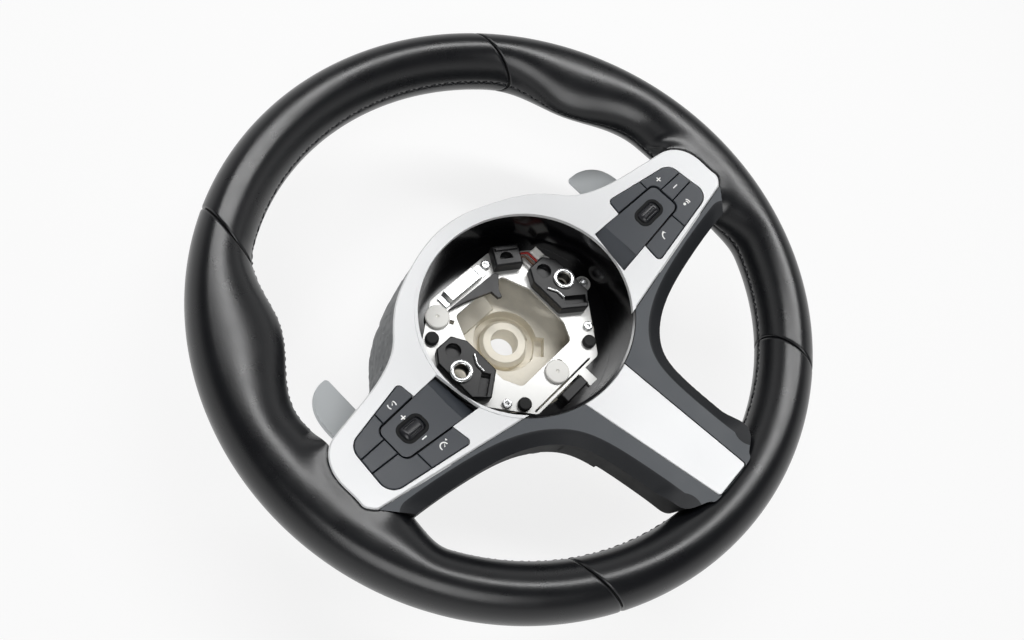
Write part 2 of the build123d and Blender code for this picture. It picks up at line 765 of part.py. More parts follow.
def carrier_plate():
    sheet = plate_outline() - plate_window()
    for x, y in POST_PLACES:
        sheet -= Pos(x, y) * Circle(SCREW_R + SCREW_CLEARANCE)
    for side in (-1, 1):
        sheet -= Pos(side * LATCH_X, LATCH_Y) * Circle(SOCKET_R)
    slit = Pos(-3, -49) * Rectangle(54, 1.2)
    sheet -= slit
    for x, y in SQUARE_HOLES:
        sheet -= Pos(x, y) * Rot(0, 0, 35) * Rectangle(3, 3)
    tab = Pos(13.5, -56) * Rectangle(7, 12)
    return Pos(0, 0, PLATE_TOP - PLATE_T) * extrude(sheet + tab, amount=PLATE_T)


def latch_block():
    """Right latch block: a black moulding with the socket for the module's pin."""
    lower = [(31.5, -13.5), (47, -24.5), (56, -16), (56, 14)]
    upper = [(50, LATCH_TOP_Y), (37, LATCH_TOP_Y), (31.5, 12.5)]
    face = Polygon(*lower, *upper, align=None)
    face = fillet(face.vertices(), 1.5)
    body = extrude(face, amount=LATCH_H)
    body = chamfer(body.edges().group_by(Axis.Z)[-1], 0.8)
    slot = Pos(44, -15, LATCH_H) * Rot(0, 0, -35) * Box(15, 6, 8)
    notch = Pos(43, 13.5, LATCH_H) * Cylinder(5, 8)
    ring = Pos(LATCH_X, LATCH_Y, 0) * extrude(Circle(SOCKET_RING_R), amount=LATCH_H + SOCKET_RING_H)
    ring = chamfer(ring.edges().group_by(Axis.Z)[-1], 0.5)
    hole = Pos(LATCH_X, LATCH_Y, -1) * extrude(Circle(SOCKET_R), amount=FAR)
    return Pos(0, 0, PLATE_TOP) * (body - slot - notch + ring - hole)


def latch_springs():
    """Bent wire beside each socket, lying on the block."""
    z = PLATE_TOP + LATCH_H + WIRE_R + 0.1
    path = FilletPolyline((35, 3, z), (38.5, -3, z), (38.5, -9, z), radius=4.0)
    wire = sweep(Plane(path @ 0, z_dir=path % 0) * Circle(WIRE_R), path=path)
    return Compound([wire, left_of(wire)])


def buffers():
    dot = extrude(Circle(BUFFER_R), amount=BUFFER_H)
    dot = fillet(dot.edges().group_by(Axis.Z)[-1], 1.2)
    return Compound([Pos(x, y, PLATE_TOP) * dot for x, y in BUFFER_PLACES])


def pads():
    disc = extrude(Circle(PAD_R), amount=PAD_H)
    disc = chamfer(disc.edges().group_by(Axis.Z)[-1], 0.6)
    dimple = Pos(0, 0, PAD_H) * Sphere(1.2)
    return Compound([Pos(x, y, PLATE_TOP) * (disc - dimple) for x, y in PAD_PLACES])


def plate_screws():
    screw = extrude(Circle(SCREW_HEAD_R), amount=SCREW_HEAD_H)
    screw = fillet(screw.edges().group_by(Axis.Z)[-1], 0.8)
    screw += Pos(0, 0, -SCREW_LENGTH) * extrude(Circle(SCREW_R - SCREW_FIT), amount=SCREW_LENGTH + 0.5)
    screw -= Pos(0, 0, SCREW_HEAD_H) * extrude(RegularPolygon(HEX_R, 6), amount=HEX_DEPTH, both=True)
    return Compound([Pos(x, y, PLATE_TOP) * screw for x, y in POST_PLACES])


def strip_bracket():
    """Bright spring strip on two feet, across the top of the window."""
    under = [(-24, 0), (-20, 0), (-18, 4), (6, 4), (9, 0), (14, 0)]
    top = [(14, 1.6), (9.8, 1.6), (6.8, 5.6), (-18.8, 5.6), (-20.8, 1.6), (-24, 1.6)]
    strip = extrude(Plane.XZ * Polygon(*under, *top, align=None), amount=4.2, both=True)
    return Pos(1, 43, PLATE_TOP) * strip


def spring_lever():
    """Black moulded lever from the strip's foot across the window's corner."""
    corners = [(-24, 36.5), (-10, 33), (7, 27), (7.5, 21), (10, 20), (12, 25), (20, 33), (18, 35.5)]
    return Pos(0, 0, PLATE_TOP) * extrude(Polygon(*corners, align=None), amount=3.0)


def main_connector():
    body = Box(CONNECTOR_W, 15, CONNECTOR_H, align=(Align.CENTER, Align.CENTER, Align.MIN))
    body = chamfer(body.edges().group_by(Axis.Z)[-1], 1.0)
    half_round = Circle(4.5) & Pos(0, 2) * Rectangle(10, 5)
    window = Pos(-1, -2.5, CONNECTOR_H) * extrude(half_round, amount=5, both=True)
    rib = Pos(0, 4, CONNECTOR_H) * Box(CONNECTOR_W - 4, 2, 1.4, align=(Align.CENTER, Align.CENTER, Align.MIN))
    return Pos(CONNECTOR_X, CONNECTOR_Y, PLATE_TOP) * Rot(0, 0, CONNECTOR_TURN) * (body - window + rib)


def small_connector():
    body = Box(6, 8, 6, align=(Align.CENTER, Align.CENTER, Align.MIN))
    body = chamfer(body.edges().group_by(Axis.Z)[-1], 0.6)
    body -= Pos(0, 3.5, 3) * Box(4, 4, 3)
    return Pos(50.6, 26.2, PLATE_TOP) * body


def contact_block():
    body = Pos(-2, -56, PLATE_TOP - PLATE_T) * Box(20, 7, 8, align=(Align.CENTER, Align.CENTER, Align.MIN))
    return chamfer(body.edges().group_by(Axis.Z)[-1], 0.8)


# Rear cover


def rear_outline(points, inset):
    return both_sides(Spline(*pushed_out(points, -inset), tangents=[(1, 0), (-1, 0)]))


def rear_shoulder(inset=0.0):
    side = POD_X
    upper = [(0, 74), (40, 67), (67, 58), (side - 17.5, 47.5), (side - 4.5, 31), (side - 0.5, 12)]
    lower = [(side - 2.5, -12), (side - 12.5, -36), (75, -54), (50, -68), (0, -77)]
    return rear_outline(upper + lower, inset)


def rear_top(inset=0.0):
    side = POD_X
    upper = [(0, 68), (36, 60), (55, 51), (68, 40), (79, 29.5), (side - 12, 20), (side - 7.5, 6)]
    lower = [(side - 9.5, -12), (side - 18.5, -30), (70, -46), (50, -61.5), (0, -72)]
    return rear_outline(upper + lower, inset)


def rear_body(inset):
    """Bowl from the foot out to the shoulder and in again under the trim."""
    foot = Pos(0, 0, inset) * Circle(REAR_FOOT_R - inset)
    shoulder = Pos(0, 0, REAR_SHOULDER_HEIGHT) * rear_shoulder(inset)
    top = Pos(0, 0, HUB_EDGE_HEIGHT + REAR_TOP_RISE) * rear_top(inset)
    return loft([foot, shoulder, top])


def rear_cover():
    bowl = rear_body(0) - rear_body(REAR_WALL) - extrude(Circle(REAR_HOLE_R), amount=FAR, both=True)
    bowl &= dish_layer(-COVER_T - PANEL_GAP, -FAR)
    for place in rear_screw_places():
        spot = Pos(place.X, place.Y, 0)
        bowl += spot * extrude(Circle(POST_R), amount=FLOOR_BOTTOM)
        bowl -= spot * extrude(Circle(SCREW_R + SCREW_CLEARANCE), amount=FAR, both=True)
        bowl -= spot * extrude(Circle(SCREW_HEAD_R + PANEL_GAP), amount=SCREW_HEAD_H + REAR_SCREW_SUNK)
    pod = pod_prism(pod_opening(KEY_GAP + POD_LIP + PANEL_GAP), FAR / 4, -POD_BOTTOM - PANEL_GAP)
    swing = PADDLE_SLOT_LENGTH * sin(radians(PADDLE_PULL)) + PADDLE_SLOT_GAP
    slot = Box(PADDLE_SLOT_LENGTH, PADDLE_ARM_W + 2 * swing, 2 * (PADDLE_BARREL_R + swing))
    arm_slot = Pos(PADDLE_PIVOT_X + PADDLE_SLOT_LENGTH / 2 - 1, PADDLE_ARM_Y, paddle_pivot_z() + swing) * slot
    bar = on_front(lower_bar_outline(2 * COVER_T + PANEL_GAP), 0, -2 * COVER_T - PANEL_GAP)
    return bowl - armature_spokes(CAST_GAP) - pod - left_of(pod) - arm_slot - left_of(arm_slot) - bar


def rear_screws():
    screw = extrude(Circle(SCREW_HEAD_R), amount=SCREW_HEAD_H)
    screw += extrude(Circle(SCREW_R - SCREW_FIT), amount=SCREW_HEAD_H + SCREW_LENGTH)
    screw -= extrude(RegularPolygon(HEX_R, 6), amount=HEX_DEPTH)
    return Compound([Pos(place.X, place.Y, REAR_SCREW_SUNK) * screw for place in rear_screw_places()])


# Shift paddles


def paddle_pivot_z():
    """Height of the pivot, beside the sloping part of the spoke."""
    knee, knee_z = spoke_knee()
    share = (PADDLE_PIVOT_X - SPOKE_ROOT_X) / (knee - SPOKE_ROOT_X)
    return FLOOR_TOP + share * (knee_z - FLOOR_TOP) - PADDLE_UNDER


def paddle_plane():
    tilt = radians(PADDLE_TILT)
    return Plane(
        origin=(PADDLE_INNER_X, 0, paddle_pivot_z() + PADDLE_T / 2),
        x_dir=(cos(tilt), 0, sin(tilt)),
        z_dir=(-sin(tilt), 0, cos(tilt)),
    )


def pivot_bar(r, y_from, y_to):
    section = Plane.XZ.offset(-y_from) * Pos(PADDLE_PIVOT_X, paddle_pivot_z()) * Circle(r)
    return extrude(section, amount=y_from - y_to)


def paddle():
    """Right paddle: tilted blade, arm and pivot barrel."""
    inner = Line((0, 2), (0, 52))
    tip = Spline(
        (0, 52),
        (10.1, 50),
        (17.4, 44.6),
        (23.6, 30),
        (23, 14),
        (15.2, 2),
        tangents=[(1, -0.05), (-0.7, -1)],
    )
    foot = Line((15.2, 2), (0, 2))
    face = outline(inner + tip + foot)
    face = fillet(face.vertices(), 2.2)
    blade = paddle_plane() * extrude(face, amount=-PADDLE_T)
    reach = PADDLE_REACH + PADDLE_T / 2
    arm = Pos(PADDLE_PIVOT_X + reach / 2, PADDLE_ARM_Y, paddle_pivot_z()) * Box(reach, PADDLE_ARM_W, PADDLE_T)
    barrel = pivot_bar(PADDLE_BARREL_R, PADDLE_ARM_Y - PADDLE_ARM_W / 2, PADDLE_ARM_Y + PADDLE_ARM_W / 2)
    return blade + arm + barrel - pivot_bar(PADDLE_PIN_R + AXLE_CLEARANCE, -FAR, FAR)


def paddle_ear_faces():
    """The two ears' inner faces and the spoke's side, along Y."""
    half = PADDLE_ARM_W / 2 + PADDLE_SIDE_GAP
    return SPOKE_Y + SPOKE_W / 2, PADDLE_ARM_Y - half, PADDLE_ARM_Y + half


def paddle_bracket():
    """Right bracket on the spoke's side: two ears and a bridge."""
    spoke_side, near, far = paddle_ear_faces()
    end = far + PADDLE_EAR_T
    back = PADDLE_PIVOT_X - PADDLE_BARREL_R - BRIDGE_GAP
    height = 2 * PADDLE_EAR_R
    seat = (Align.MAX, Align.MIN, Align.CENTER)
    bridge = Box(BRIDGE_W, end - spoke_side, height, align=seat)
    bracket = Pos(back, spoke_side, paddle_pivot_z()) * bridge
    for y_from, y_to in ((spoke_side, near), (far, end)):
        cheek = Box(PADDLE_PIVOT_X - back, y_to - y_from, height, align=seat)
        bracket += Pos(PADDLE_PIVOT_X, y_from, paddle_pivot_z()) * cheek
        bracket += pivot_bar(PADDLE_EAR_R, y_from, y_to)
    return bracket - pivot_bar(PADDLE_PIN_R, spoke_side + 1, FAR)


def paddle_pin():
    spoke_side, _, far = paddle_ear_faces()
    return pivot_bar(PADDLE_PIN_R, spoke_side + 1, far + PADDLE_EAR_T)


# Wires


def wire(side_step):
    """One of two short leads from the main connector to the right latch block."""
    turn = radians(CONNECTOR_TURN)
    out = Vector(cos(turn), sin(turn), 0)
    across = Vector(-sin(turn), cos(turn), 0)
    middle = Vector(CONNECTOR_X, CONNECTOR_Y, PLATE_TOP + WIRE_HEIGHT)
    start = middle + out * CONNECTOR_W / 2 + across * side_step
    bend = start + out * (5 + side_step)
    path = FilletPolyline(start, bend, Vector(bend.X, LATCH_TOP_Y, bend.Z), radius=2.5)
    return sweep(Plane(path @ 0, z_dir=path % 0) * Circle(WIRE_R), path=path)


def nodes():
    """Every node's name and solid."""
    rebate = spoke_rebate()
    yield "armature", armature()
    yield "rim_foam", rim_foam(rebate)
    yield from leather_panels(rebate).items()
    yield "spoke_trim", spoke_trim()
    yield "lower_spoke_trim", lower_spoke_trim()
    yield "lower_cover", lower_cover()
    yield "rear_cover", rear_cover()
    yield "rear_screws", rear_screws()
    for key, solid in keys().items():
        yield "right_key_" + key, solid
        yield "left_key_" + key, left_of(solid)
    paired = {
        "switch_housing": switch_housing(),
        "centre_panel": centre_panel(),
        "latch_block": latch_block(),
        "paddle": paddle(),
        "paddle_bracket": paddle_bracket(),
        "paddle_pin": paddle_pin(),
    }
    for piece, solid in paired.items():
        yield "right_" + piece, solid
        yield "left_" + piece, left_of(solid)
    yield "right_roller", roller(True)
    yield "left_rocker", left_of(roller(False))
    yield "hub_liner", hub_liner()
    yield "carrier_plate", carrier_plate()
    yield "latch_springs", latch_springs()
    yield "rubber_buffers", buffers()
    yield "locating_pads", pads()
    yield "plate_screws", plate_screws()
    yield "strip_bracket", strip_bracket()
    yield "spring_lever", spring_lever()
    yield "main_connector", main_connector()
    yield "small_connector", small_connector()
    yield "contact_block", contact_block()
    yield "red_wire", wire(1.2)
    yield "brown_wire", wire(-1.2)


os.makedirs("parts", exist_ok=True)
for name, solid in nodes():
    export_step(solid, f"parts/{name}.step")
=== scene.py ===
"""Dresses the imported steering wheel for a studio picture.

Leather, lower cover, rear bowl, rings and signs are built here. All other nodes only take a finish.
Sizes are in millimetres and angles in degrees where nothing else is said. Meshes are in metres.
"""

import json
import logging
import math
from dataclasses import dataclass
from enum import Enum
from typing import Any, Iterable, Sequence

import bmesh
import bpy
import numpy as np
from mathutils import Euler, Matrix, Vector
from mathutils.bvhtree import BVHTree
from mathutils.kdtree import KDTree

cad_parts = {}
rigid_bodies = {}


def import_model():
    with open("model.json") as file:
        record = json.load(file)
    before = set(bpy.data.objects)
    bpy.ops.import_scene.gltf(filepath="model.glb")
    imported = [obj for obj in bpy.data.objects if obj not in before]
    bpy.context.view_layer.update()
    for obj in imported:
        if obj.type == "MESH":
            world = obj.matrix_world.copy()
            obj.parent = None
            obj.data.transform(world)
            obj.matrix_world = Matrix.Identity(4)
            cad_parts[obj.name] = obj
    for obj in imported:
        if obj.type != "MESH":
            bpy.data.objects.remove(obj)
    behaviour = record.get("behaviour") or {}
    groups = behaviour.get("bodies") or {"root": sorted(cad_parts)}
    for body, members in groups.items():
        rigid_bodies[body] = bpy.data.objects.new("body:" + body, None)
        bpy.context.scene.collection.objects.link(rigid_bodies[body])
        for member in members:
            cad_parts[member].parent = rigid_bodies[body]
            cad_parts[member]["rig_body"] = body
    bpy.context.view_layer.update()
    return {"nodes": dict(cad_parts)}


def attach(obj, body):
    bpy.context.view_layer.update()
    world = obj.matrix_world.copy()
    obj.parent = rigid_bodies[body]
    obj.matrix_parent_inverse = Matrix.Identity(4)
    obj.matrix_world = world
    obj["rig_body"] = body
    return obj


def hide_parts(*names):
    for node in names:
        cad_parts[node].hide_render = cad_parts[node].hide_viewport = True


MM = 0.001
MICRONS = 1e6  # in a metre
WHEEL = "wheel"
UP = Vector((0, 0, 1))
RIM_Y = 7.5  # mm from the shaft axis up to the rim's axis
POD_X = 104.5  # mm from the plane of symmetry to a switch pod's middle
SIDES = (("right", 1.0), ("left", -1.0))
LOG = logging.getLogger("steering_wheel")

# Nodes that make the dished front
FRONT = ("spoke_trim", "lower_cover", "lower_spoke_trim")

# Angles in degrees from which an edge is shaded sharp
NODE_EDGE = 24.0
MOULDED_EDGE = 32.0
RING_EDGE = 40.0
SOFT_EDGE = 60.0

Piece = bpy.types.Object
Nodes = dict[str, Piece]
Tree = bpy.types.NodeTree
Socket = bpy.types.NodeSocket
Form = bmesh.types.BMesh
Faces = list[tuple[int, ...]]
Plan = list[tuple[float, float]]
Outline = tuple[tuple[float, float], ...]
# A place in plan, in whole microns
Corner = tuple[int, int]
# Both ends of an edge and the middle of the front face beside it
FreeEdge = tuple[Vector, Vector, Vector]
# Points with the inward direction in plan at each
Run = list[tuple[Vector, Vector]]


def linear(colour: str) -> tuple[float, float, float, float]:
    """Turns an sRGB hex colour into linear light.

    Args:
        colour: Six hex digits after a hash.

    Returns:
        Linear red, green, blue and an alpha of one.
    """
    shares = [int(colour[i : i + 2], 16) / 255 for i in (1, 3, 5)]
    parts = [c / 12.92 if c <= 0.04045 else ((c + 0.055) / 1.055) ** 2.4 for c in shares]
    return parts[0], parts[1], parts[2], 1.0


def add_node(
    tree: Tree,
    kind: str,
    settings: dict[str | int, Any] | None = None,
    links: dict[str | int, Socket] | None = None,
) -> bpy.types.Node:
    """Adds a node with its settings and links.

    Args:
        tree: Node tree that takes the node.
        kind: Blender's type name without its ShaderNode prefix.
        settings: Values by property name, or by an input's name or number.
        links: Output sockets by the name or number of the input that they feed.

    Returns:
        The new node.
    """
    node = tree.nodes.new("ShaderNode" + kind)
    for key, value in (settings or {}).items():
        if isinstance(key, str) and hasattr(node, key):
            setattr(node, key, value)
        else:
            node.inputs[key].default_value = value
    for key, socket in (links or {}).items():
        tree.links.new(socket, node.inputs[key])
    return node


def new_tree(name: str) -> tuple[bpy.types.Material, Tree]:
    """Starts an empty node material.

    Args:
        name: Name of the material.

    Returns:
        The material and its node tree.
    """
    material = bpy.data.materials.new(name)
    material.use_nodes = True
    material.node_tree.nodes.clear()
    return material, material.node_tree


class Texture(Enum):
    """How a finish's surface was made."""

    PLAIN = "plain"
    MOULDED = "moulded"
    PAINTED = "painted"
    CAST = "cast"
    ROLLED = "rolled"
    HIDE = "hide"


# Detail of the height pattern that each way of making leaves
DETAIL = {Texture.MOULDED: 2.0, Texture.PAINTED: 2.0, Texture.ROLLED: 3.0, Texture.CAST: 8.0}


@dataclass(frozen=True)
class Finish:
    """A real material and the way its surface was made."""

    name: str
    colour: str
    roughness: float
    texture: Texture
    metallic: float = 0.0
    ior: float = 1.5
    specular: float = 0.5
    grain_mm: float = 0.6
    depth_mm: float = 0.01
    mottle: float = 0.08
    mottle_mm: float = 14.0
    round_mm: float = 0.0
    round_samples: int = 4
    mottle_detail: float = 4.0
    gloss_spread: float = 0.2
    rolled_stretch: float = 0.06
    fold_pores: float = 9.0
    fold_detail: float = 5.0
    fold_roughness: float = 0.6
    fold_weight: float = 2.2

    def material(self) -> bpy.types.Material:
        """Makes the finish's material on first use.

        Returns:
            The material.
        """
        found = bpy.data.materials.get(self.name)
        if found:
            return found
        material, tree = new_tree(self.name)
        place = add_node(tree, "TexCoord").outputs["Object"]
        mottle = {"Scale": 1 / (self.mottle_mm * MM), "Detail": self.mottle_detail}
        patch = add_node(tree, "TexNoise", mottle, {"Vector": place}).outputs["Fac"]
        dark, pale = (
            [min(1.0, c * share) for c in linear(self.colour)[:3]] + [1.0]
            for share in (1 - self.mottle, 1 + self.mottle)
        )
        # The Mix node's colours are its inputs 6 and 7 and its output 2
        tone = add_node(tree, "Mix", {"data_type": "RGBA", 6: dark, 7: pale}, {"Factor": patch}).outputs[2]
        spread = self.gloss_spread * self.roughness
        sheen = {"To Min": self.roughness - spread, "To Max": self.roughness + spread}
        gloss = add_node(tree, "MapRange", sheen, {"Value": patch}).outputs["Result"]
        body = {"Metallic": self.metallic, "Specular IOR Level": self.specular}
        if not self.metallic:
            body["IOR"] = self.ior
        looks = {"Base Color": tone, "Roughness": gloss}
        facing = self.facing(tree, place)
        if facing:
            looks["Normal"] = facing
        shader = add_node(tree, "BsdfPrincipled", body, looks)
        add_node(tree, "OutputMaterial", links={"Surface": shader.outputs["BSDF"]})
        return material

    def facing(self, tree: Tree, place: Socket) -> Socket | None:
        """Adds the rounding of edges and the surface's relief.

        Args:
            tree: Node tree of the material.
            place: Position in the row frame, in metres.

        Returns:
            The normal socket, or none for a plain surface with plain edges.
        """
        links = {}
        if self.round_mm:
            edge = {"samples": self.round_samples, "Radius": self.round_mm * MM}
            links["Normal"] = add_node(tree, "Bevel", edge).outputs["Normal"]
        height = self.relief(tree, place)
        if height:
            links["Height"] = height
            depth = {"Strength": 1.0, "Distance": self.depth_mm * MM}
            return add_node(tree, "Bump", depth, links).outputs["Normal"]
        return links.get("Normal")

    def relief(self, tree: Tree, place: Socket) -> Socket | None:
        """Adds the height pattern that the surface's making left.

        Args:
            tree: Node tree of the material.
            place: Position in the row frame, in metres.

        Returns:
            The height socket, or none for a plain surface.
        """
        if self.texture is Texture.PLAIN:
            return None
        scale = 1 / (self.grain_mm * MM)
        if self.texture is Texture.HIDE:
            pores = add_node(tree, "TexVoronoi", {"Scale": scale}, {"Vector": place}).outputs["Distance"]
            wave = {
                "Scale": scale / self.fold_pores,
                "Detail": self.fold_detail,
                "Roughness": self.fold_roughness,
            }
            folds = add_node(tree, "TexNoise", wave, {"Vector": place}).outputs["Fac"]
            weighed = {"operation": "MULTIPLY_ADD", 1: self.fold_weight}
            return add_node(tree, "Math", weighed, {0: folds, 2: pores}).outputs["Value"]
        if self.texture is Texture.ROLLED:
            along = {"Scale": (self.rolled_stretch, 1.0, 1.0)}
            place = add_node(tree, "Mapping", along, {"Vector": place}).outputs["Vector"]
        grain = {"Scale": scale, "Detail": DETAIL[self.texture]}
        return add_node(tree, "TexNoise", grain, {"Vector": place}).outputs["Fac"]


# Smooth coated hide: satin black, with pores that only soften its long highlights.
LEATHER = Finish("Coated_hide_sewn", "#0f1013", 0.29, Texture.HIDE, specular=0.55, grain_mm=0.9,
                 depth_mm=0.012, mottle=0.12)
# Twisted polyester thread: black, a little paler than the hide where it catches the light.
THREAD = Finish("Polyester_thread_twisted", "#202126", 0.55, Texture.MOULDED, grain_mm=0.3, depth_mm=0.05)
# ABS with a satin silver lacquer: very pale, with a soft broad reflection.
SILVER = Finish("ABS_satin_silver_lacquer", "#e4e5e6", 0.42, Texture.PAINTED, metallic=0.08, grain_mm=0.35,
                depth_mm=0.002, mottle=0.015, mottle_mm=40)
# Moulded plastic with soft-touch lacquer: slate grey, with a wide dull sheen.
SOFT_TOUCH = Finish("ABS_soft_touch_lacquer", "#44484d", 0.52, Texture.MOULDED, grain_mm=0.5, depth_mm=0.008)
# Bevel of the soft-touch moulding: the same lacquer over a coarser grain, made much darker as painted shade
# on the bevel.
BEVEL_PAINTED_SHADE = Finish("ABS_soft_touch_painted_shade", "#16181c", 0.55, Texture.MOULDED, specular=0.35, grain_mm=0.7,
                    depth_mm=0.012)
# Painted shade in dull black plastic: on the steep sides of the soft-touch moulding, on its webs, and on the
# rings that stand for the shaded gap round the roller and the rocker.
BLACK_PAINTED_SHADE = Finish("ABS_black_painted_shade", "#101112", 0.7, Texture.MOULDED, specular=0.25, grain_mm=0.5)
# Key caps: moulded, slate satin lacquer with rounded edges.
KEY_SLATE = Finish("Polycarbonate_slate_lacquer", "#363a40", 0.42, Texture.PAINTED, grain_mm=0.4,
                   depth_mm=0.005)
# Roller and rocker: black moulded grip with a glossy edge.
GRIP_BLACK = Finish("Polycarbonate_black_moulded", "#1c1d21", 0.3, Texture.PAINTED, grain_mm=0.4,
                    depth_mm=0.004, round_mm=0.3)
# Printed signs: opaque white ink.
SIGN_WHITE = Finish("Printed_ink_white", "#f0f0ee", 0.5, Texture.PLAIN, mottle=0.02)
# Technical mouldings: black glass-filled nylon with a fine spark grain.
BLACK_NYLON = Finish("Nylon_glass_filled_moulded", "#141416", 0.42, Texture.MOULDED, grain_mm=0.45,
                     depth_mm=0.015, round_mm=0.4)
# Hub wall: black ABS from a polished mould.
GLOSS_BLACK = Finish("ABS_polished_mould", "#08080a", 0.14, Texture.PLAIN, mottle=0.1, mottle_mm=30,
                     round_mm=0.4)
# Rear bowl: slate polypropylene from a grained mould, with a soft pale sheen on its shoulder.
REAR_SLATE = Finish("Polypropylene_slate_grained", "#595c5e", 0.42, Texture.MOULDED, depth_mm=0.006)
# Paddles: moulded with a satin metal lacquer.
PADDLE = Finish("ABS_satin_metal_lacquer", "#cbcfd1", 0.36, Texture.PAINTED, metallic=0.3, grain_mm=0.4,
                depth_mm=0.003, mottle=0.03, mottle_mm=30, round_mm=0.7)
# Die-cast alloy, bare: beige grey with a dry cast skin.
CAST = Finish("Aluminium_die_cast", "#ebe5d6", 0.5, Texture.CAST, metallic=0.22, grain_mm=1.6, depth_mm=0.12,
              mottle=0.16, mottle_mm=9, round_mm=0.6)
# Zinc-plated sheet steel: bright, with a faint rolling direction.
SHEET = Finish("Steel_zinc_plated_rolled", "#d0d0ce", 0.36, Texture.ROLLED, metallic=0.5, grain_mm=0.5,
               depth_mm=0.006, mottle=0.06, round_mm=0.3)
# Screws, springs and the strip: bright zinc.
BRIGHT = Finish("Steel_zinc_bright", "#d9dadb", 0.24, Texture.ROLLED, metallic=0.8, grain_mm=0.4,
                depth_mm=0.004, round_mm=0.2)
# Buffers: dull black rubber.
RUBBER = Finish("EPDM_moulded", "#101011", 0.65, Texture.MOULDED, grain_mm=0.5, depth_mm=0.02, round_mm=0.3)
# Pads and the small plug: milky unfilled nylon.
WHITE_NYLON = Finish("Nylon_natural_moulded", "#f2f1ec", 0.45, Texture.MOULDED, round_mm=0.3)
# Lead insulation: smooth PVC, one lead red and one brown.
RED_PVC = Finish("PVC_red_extruded", "#a3211c", 0.4, Texture.PLAIN)
BROWN_PVC = Finish("PVC_brown_extruded", "#5a3a24", 0.4, Texture.PLAIN)
# Foam under the leather: dull black skin.
FOAM = Finish("Polyurethane_skin_foam", "#0c0c0d", 0.7, Texture.MOULDED, grain_mm=0.8, depth_mm=0.05)


def dress(obj: Piece, finish: Finish) -> Piece:
    """Gives an object one finish all over.

    Args:
        obj: Mesh object.
        finish: Finish that it takes.

    Returns:
        The same object.
    """
    obj.data.materials.clear()
    obj.data.materials.append(finish.material())
    return obj


def smooth(mesh: bpy.types.Mesh, sharp_angle: float) -> None:
    """Shades a mesh smooth between edges sharper than an angle in degrees."""
    mesh.polygons.foreach_set("use_smooth", [True] * len(mesh.polygons))
    mesh.set_sharp_from_angle(angle=math.radians(sharp_angle))


def new_object(mesh: bpy.types.Mesh, finish: Finish) -> Piece:
    """Puts a mesh into the scene.

    Args:
        mesh: Mesh in the row frame, in metres.
        finish: Finish that it takes.

    Returns:
        The new object, named as its mesh.
    """
    obj = bpy.data.objects.new(mesh.name, mesh)
    bpy.context.scene.collection.objects.link(obj)
    return dress(obj, finish)


def mesh_object(
    name: str, points: np.ndarray, faces: Sequence[Sequence[int]], finish: Finish
) -> Piece:
    """Makes a mesh object from points and faces.

    Args:
        name: Name of the object.
        points: Vertices in millimetres.
        faces: Vertex numbers of each face.
        finish: Finish that it takes.

    Returns:
        The new object.
    """
    mesh = bpy.data.meshes.new(name)
    mesh.from_pydata((np.asarray(points) * MM).tolist(), [], [list(f) for f in faces])
    mesh.update()
    return new_object(mesh, finish)


def tube_faces(rows: int, sides: int, first: int = 0) -> Faces:
    """Joins loops of points into a closed tube.

    Args:
        rows: Number of loops.
        sides: Number of points in each loop.
        first: Number of the first point.

    Returns:
        Point numbers of the walls' faces, then of both ends.
    """
    faces = []
    for i in range(rows - 1):
        for j in range(sides):
            a, b = first + i * sides + j, first + i * sides + (j + 1) % sides
            faces.append((a, b, b + sides, a + sides))
    last = first + (rows - 1) * sides
    return faces + [tuple(range(first, first + sides))[::-1], tuple(range(last, last + sides))]


def tree_of(nodes: Nodes, names: Iterable[str]) -> BVHTree:
    """Builds one search tree over some nodes' meshes.

    Args:
        nodes: The frame's nodes.
        names: Names of the nodes to take.

    Returns:
        A tree for nearest points and rays, in metres.
    """
    points: list[Vector] = []
    faces: list[list[int]] = []
    for name in names:
        mesh = nodes[name].data
        start = len(points)
        points.extend(v.co.copy() for v in mesh.vertices)
        faces.extend([start + i for i in p.vertices] for p in mesh.polygons)
    return BVHTree.FromPolygons(points, faces)


def loose_form(node: Piece) -> Form:
    """Copies a node's mesh as one closed form of triangles.

    Args:
        node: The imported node.

    Returns:
        A copy that can be reshaped, in metres.
    """
    form = bmesh.new()
    form.from_mesh(node.data)
    bmesh.ops.remove_doubles(form, verts=form.verts, dist=1 / MICRONS)
    bmesh.ops.triangulate(form, faces=form.faces)
    form.normal_update()
    return form


def moulded(name: str, form: Form, *finishes: Finish) -> Piece:
    """Makes an object of a reshaped form, with fresh normals.

    Args:
        name: Name of the object.
        form: The form, freed here. Its faces say which finish they take.
        finishes: Finishes in the faces' order.

    Returns:
        The new object.
    """
    mesh = bpy.data.meshes.new(name)
    form.to_mesh(mesh)
    form.free()
    old_normals = mesh.attributes.get("custom_normal")
    if old_normals:
        mesh.attributes.remove(old_normals)
    smooth(mesh, MOULDED_EDGE)
    kinds = [face.material_index for face in mesh.polygons]
    obj = new_object(mesh, finishes[0])
    for finish in finishes[1:]:
        mesh.materials.append(finish.material())
    mesh.polygons.foreach_set("material_index", kinds)
    return obj


def ring_object(name: str, loops: Sequence[np.ndarray], finish: Finish) -> Piece:
    """Joins closed loops of points into one closed ring.

    Args:
        name: Name of the object.
        loops: Loops of as many points each in millimetres, in order round the ring's section.
        finish: Finish that it takes.

    Returns:
        The new object.
    """
    points = np.concatenate(loops)
    # The first loop comes again as the last one, and the tube's two ends are left out
    walls = tube_faces(len(loops) + 1, len(loops[0]))[:-2]
    ring = mesh_object(name, points, [[i % len(points) for i in wall] for wall in walls], finish)
    form = bmesh.new()
    form.from_mesh(ring.data)
    bmesh.ops.recalc_face_normals(form, faces=form.faces)
    form.to_mesh(ring.data)
    form.free()
    smooth(ring.data, RING_EDGE)
    return ring


